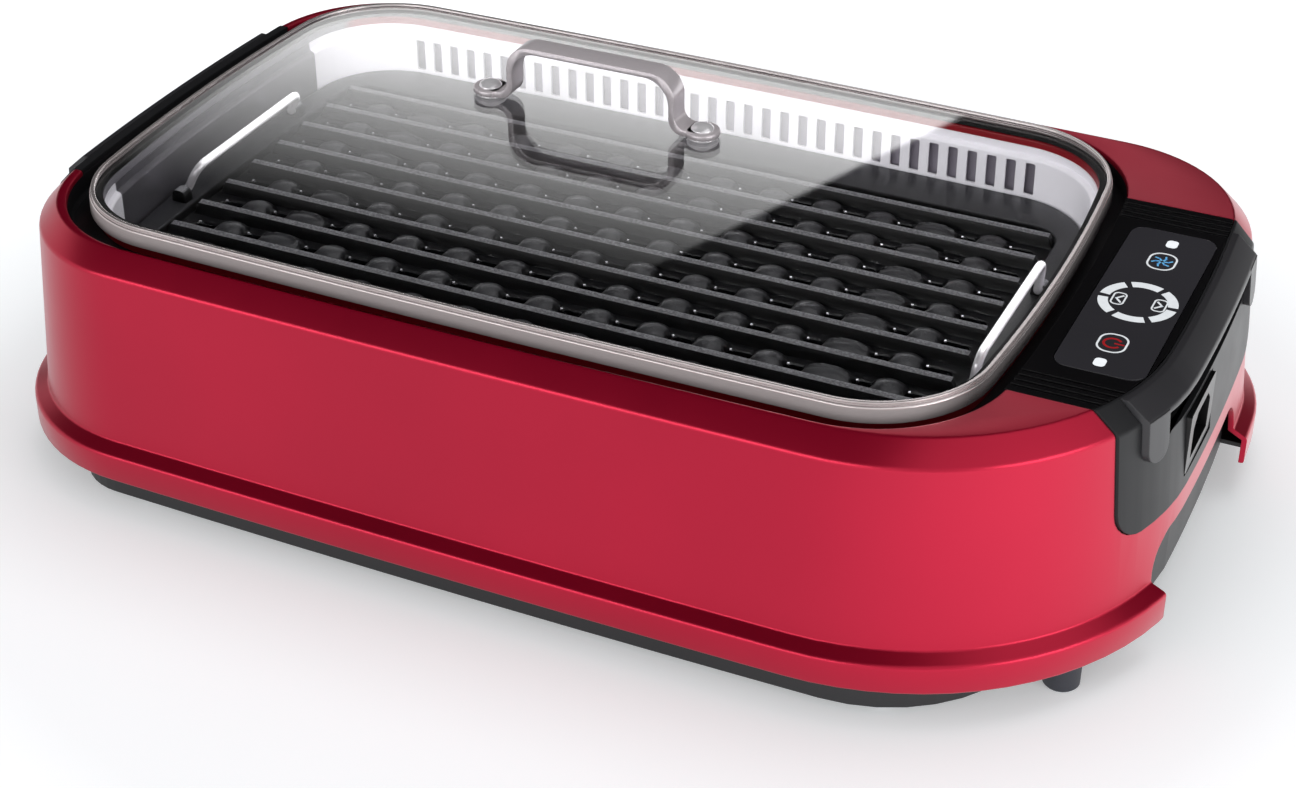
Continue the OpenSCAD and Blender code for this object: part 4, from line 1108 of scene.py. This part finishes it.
def veil(t, strength):
    """Bright low down and left of a slanting edge, black to the right of it; the numbers are in metres."""
    place = t.nodes.new("ShaderNodeSeparateXYZ")
    t.links.new(t.nodes.new("ShaderNodeTexCoord").outputs["Object"], place.inputs[0])
    x, z = place.outputs["X"], place.outputs["Z"]
    past_edge = math_node(t, "MULTIPLY_ADD", z, 1.342, math_node(t, "ADD", x, -0.789))
    left = clamp_node(t, math_node(t, "SUBTRACT", 0.5, math_node(t, "MULTIPLY", past_edge, 90.0)))
    low = clamp_node(t, math_node(t, "DIVIDE", math_node(t, "SUBTRACT", 1.14, z), 0.27))
    lit = math_node(t, "MULTIPLY", math_node(t, "POWER", low, 1.4), 2.95)
    t.links.new(math_node(t, "MULTIPLY", lit, left), strength)


def flag(t, strength):
    strength.default_value = 0.0


reflector("veil_card", [(-4000, 1500, 200), (4000, 1500, 200), (4000, 1500, 3200), (-4000, 1500, 3200)], veil)
reflector("dark_flag", [(-5000, -5200, 2300), (800, -5200, 2300), (800, 6000, 2300), (-5000, 6000, 2300)],
          flag)
only_for("veil_card", "lid_pane", "left_wire_bow", "right_wire_bow")
area("glint", (0.2, 1.3, 1.05), (0, 0, 0.09), 0.7, 150)
only_for("glint", "slot_glints", "left_wire_bow", "right_wire_bow")
area("deck_fill", (-0.1, 1.4, 0.95), (0.15, 0, 0.12), 1.2, 1.6, size_y=0.6)
only_for("deck_fill", "housing_shell", "rim_band")
area("liner_fill", (0.1, -1.3, 0.9), (0, 0.1, 0.1), 0.5, 12, seen=False)
only_for("liner_fill", "chamber")

# Floor: pale, and whiter away from the object where the camera, glass or gloss sees it
HALF = 6000
corners = [(-HALF, -HALF, 0), (HALF, -HALF, 0), (HALF, HALF, 0), (-HALF, HALF, 0)]
floor = make("studio_floor", (corners, [(0, 1, 2, 3)]))
fm = Mat("floor_white", (239, 243, 246), 0.9)
fm.shade(fm.noise(3, 2), 0.98, 1.0)
ft = fm.t
glowing = fm.node("ShaderNodeEmission")
both = fm.node("ShaderNodeAddShader")
rays = fm.node("ShaderNodeLightPath").outputs
aside = clamp_node(ft, math_node(ft, "DIVIDE", math_node(ft, "ADD", fm.axes(fm.coord)["X"], -0.08), 0.4))
mirrored = math_node(ft, "MULTIPLY", rays["Is Glossy Ray"], math_node(ft, "MULTIPLY_ADD", aside, 0.8, 0.22))
reach = fm.node("ShaderNodeVectorMath", operation="LENGTH")
fm.link(fm.coord, reach.inputs[0])
far = clamp_node(ft, math_node(ft, "DIVIDE", math_node(ft, "ADD", reach.outputs["Value"], -0.32), 0.25))
seen = math_node(ft, "MAXIMUM", rays["Is Camera Ray"], rays["Is Transmission Ray"])
fm.link(math_node(ft, "MULTIPLY_ADD", seen, math_node(ft, "MULTIPLY_ADD", far, 0.42, 0.28), mirrored),
        glowing.inputs["Strength"])
fm.link(fm.p.outputs[0], both.inputs[0])
fm.link(glowing.outputs[0], both.inputs[1])
looking = math_node(ft, "MAXIMUM", seen, rays["Is Glossy Ray"])
mix_shaders(ft, looking, fm.p.outputs[0], both.outputs[0], fm.out)
floor.data.materials.append(fm.m)
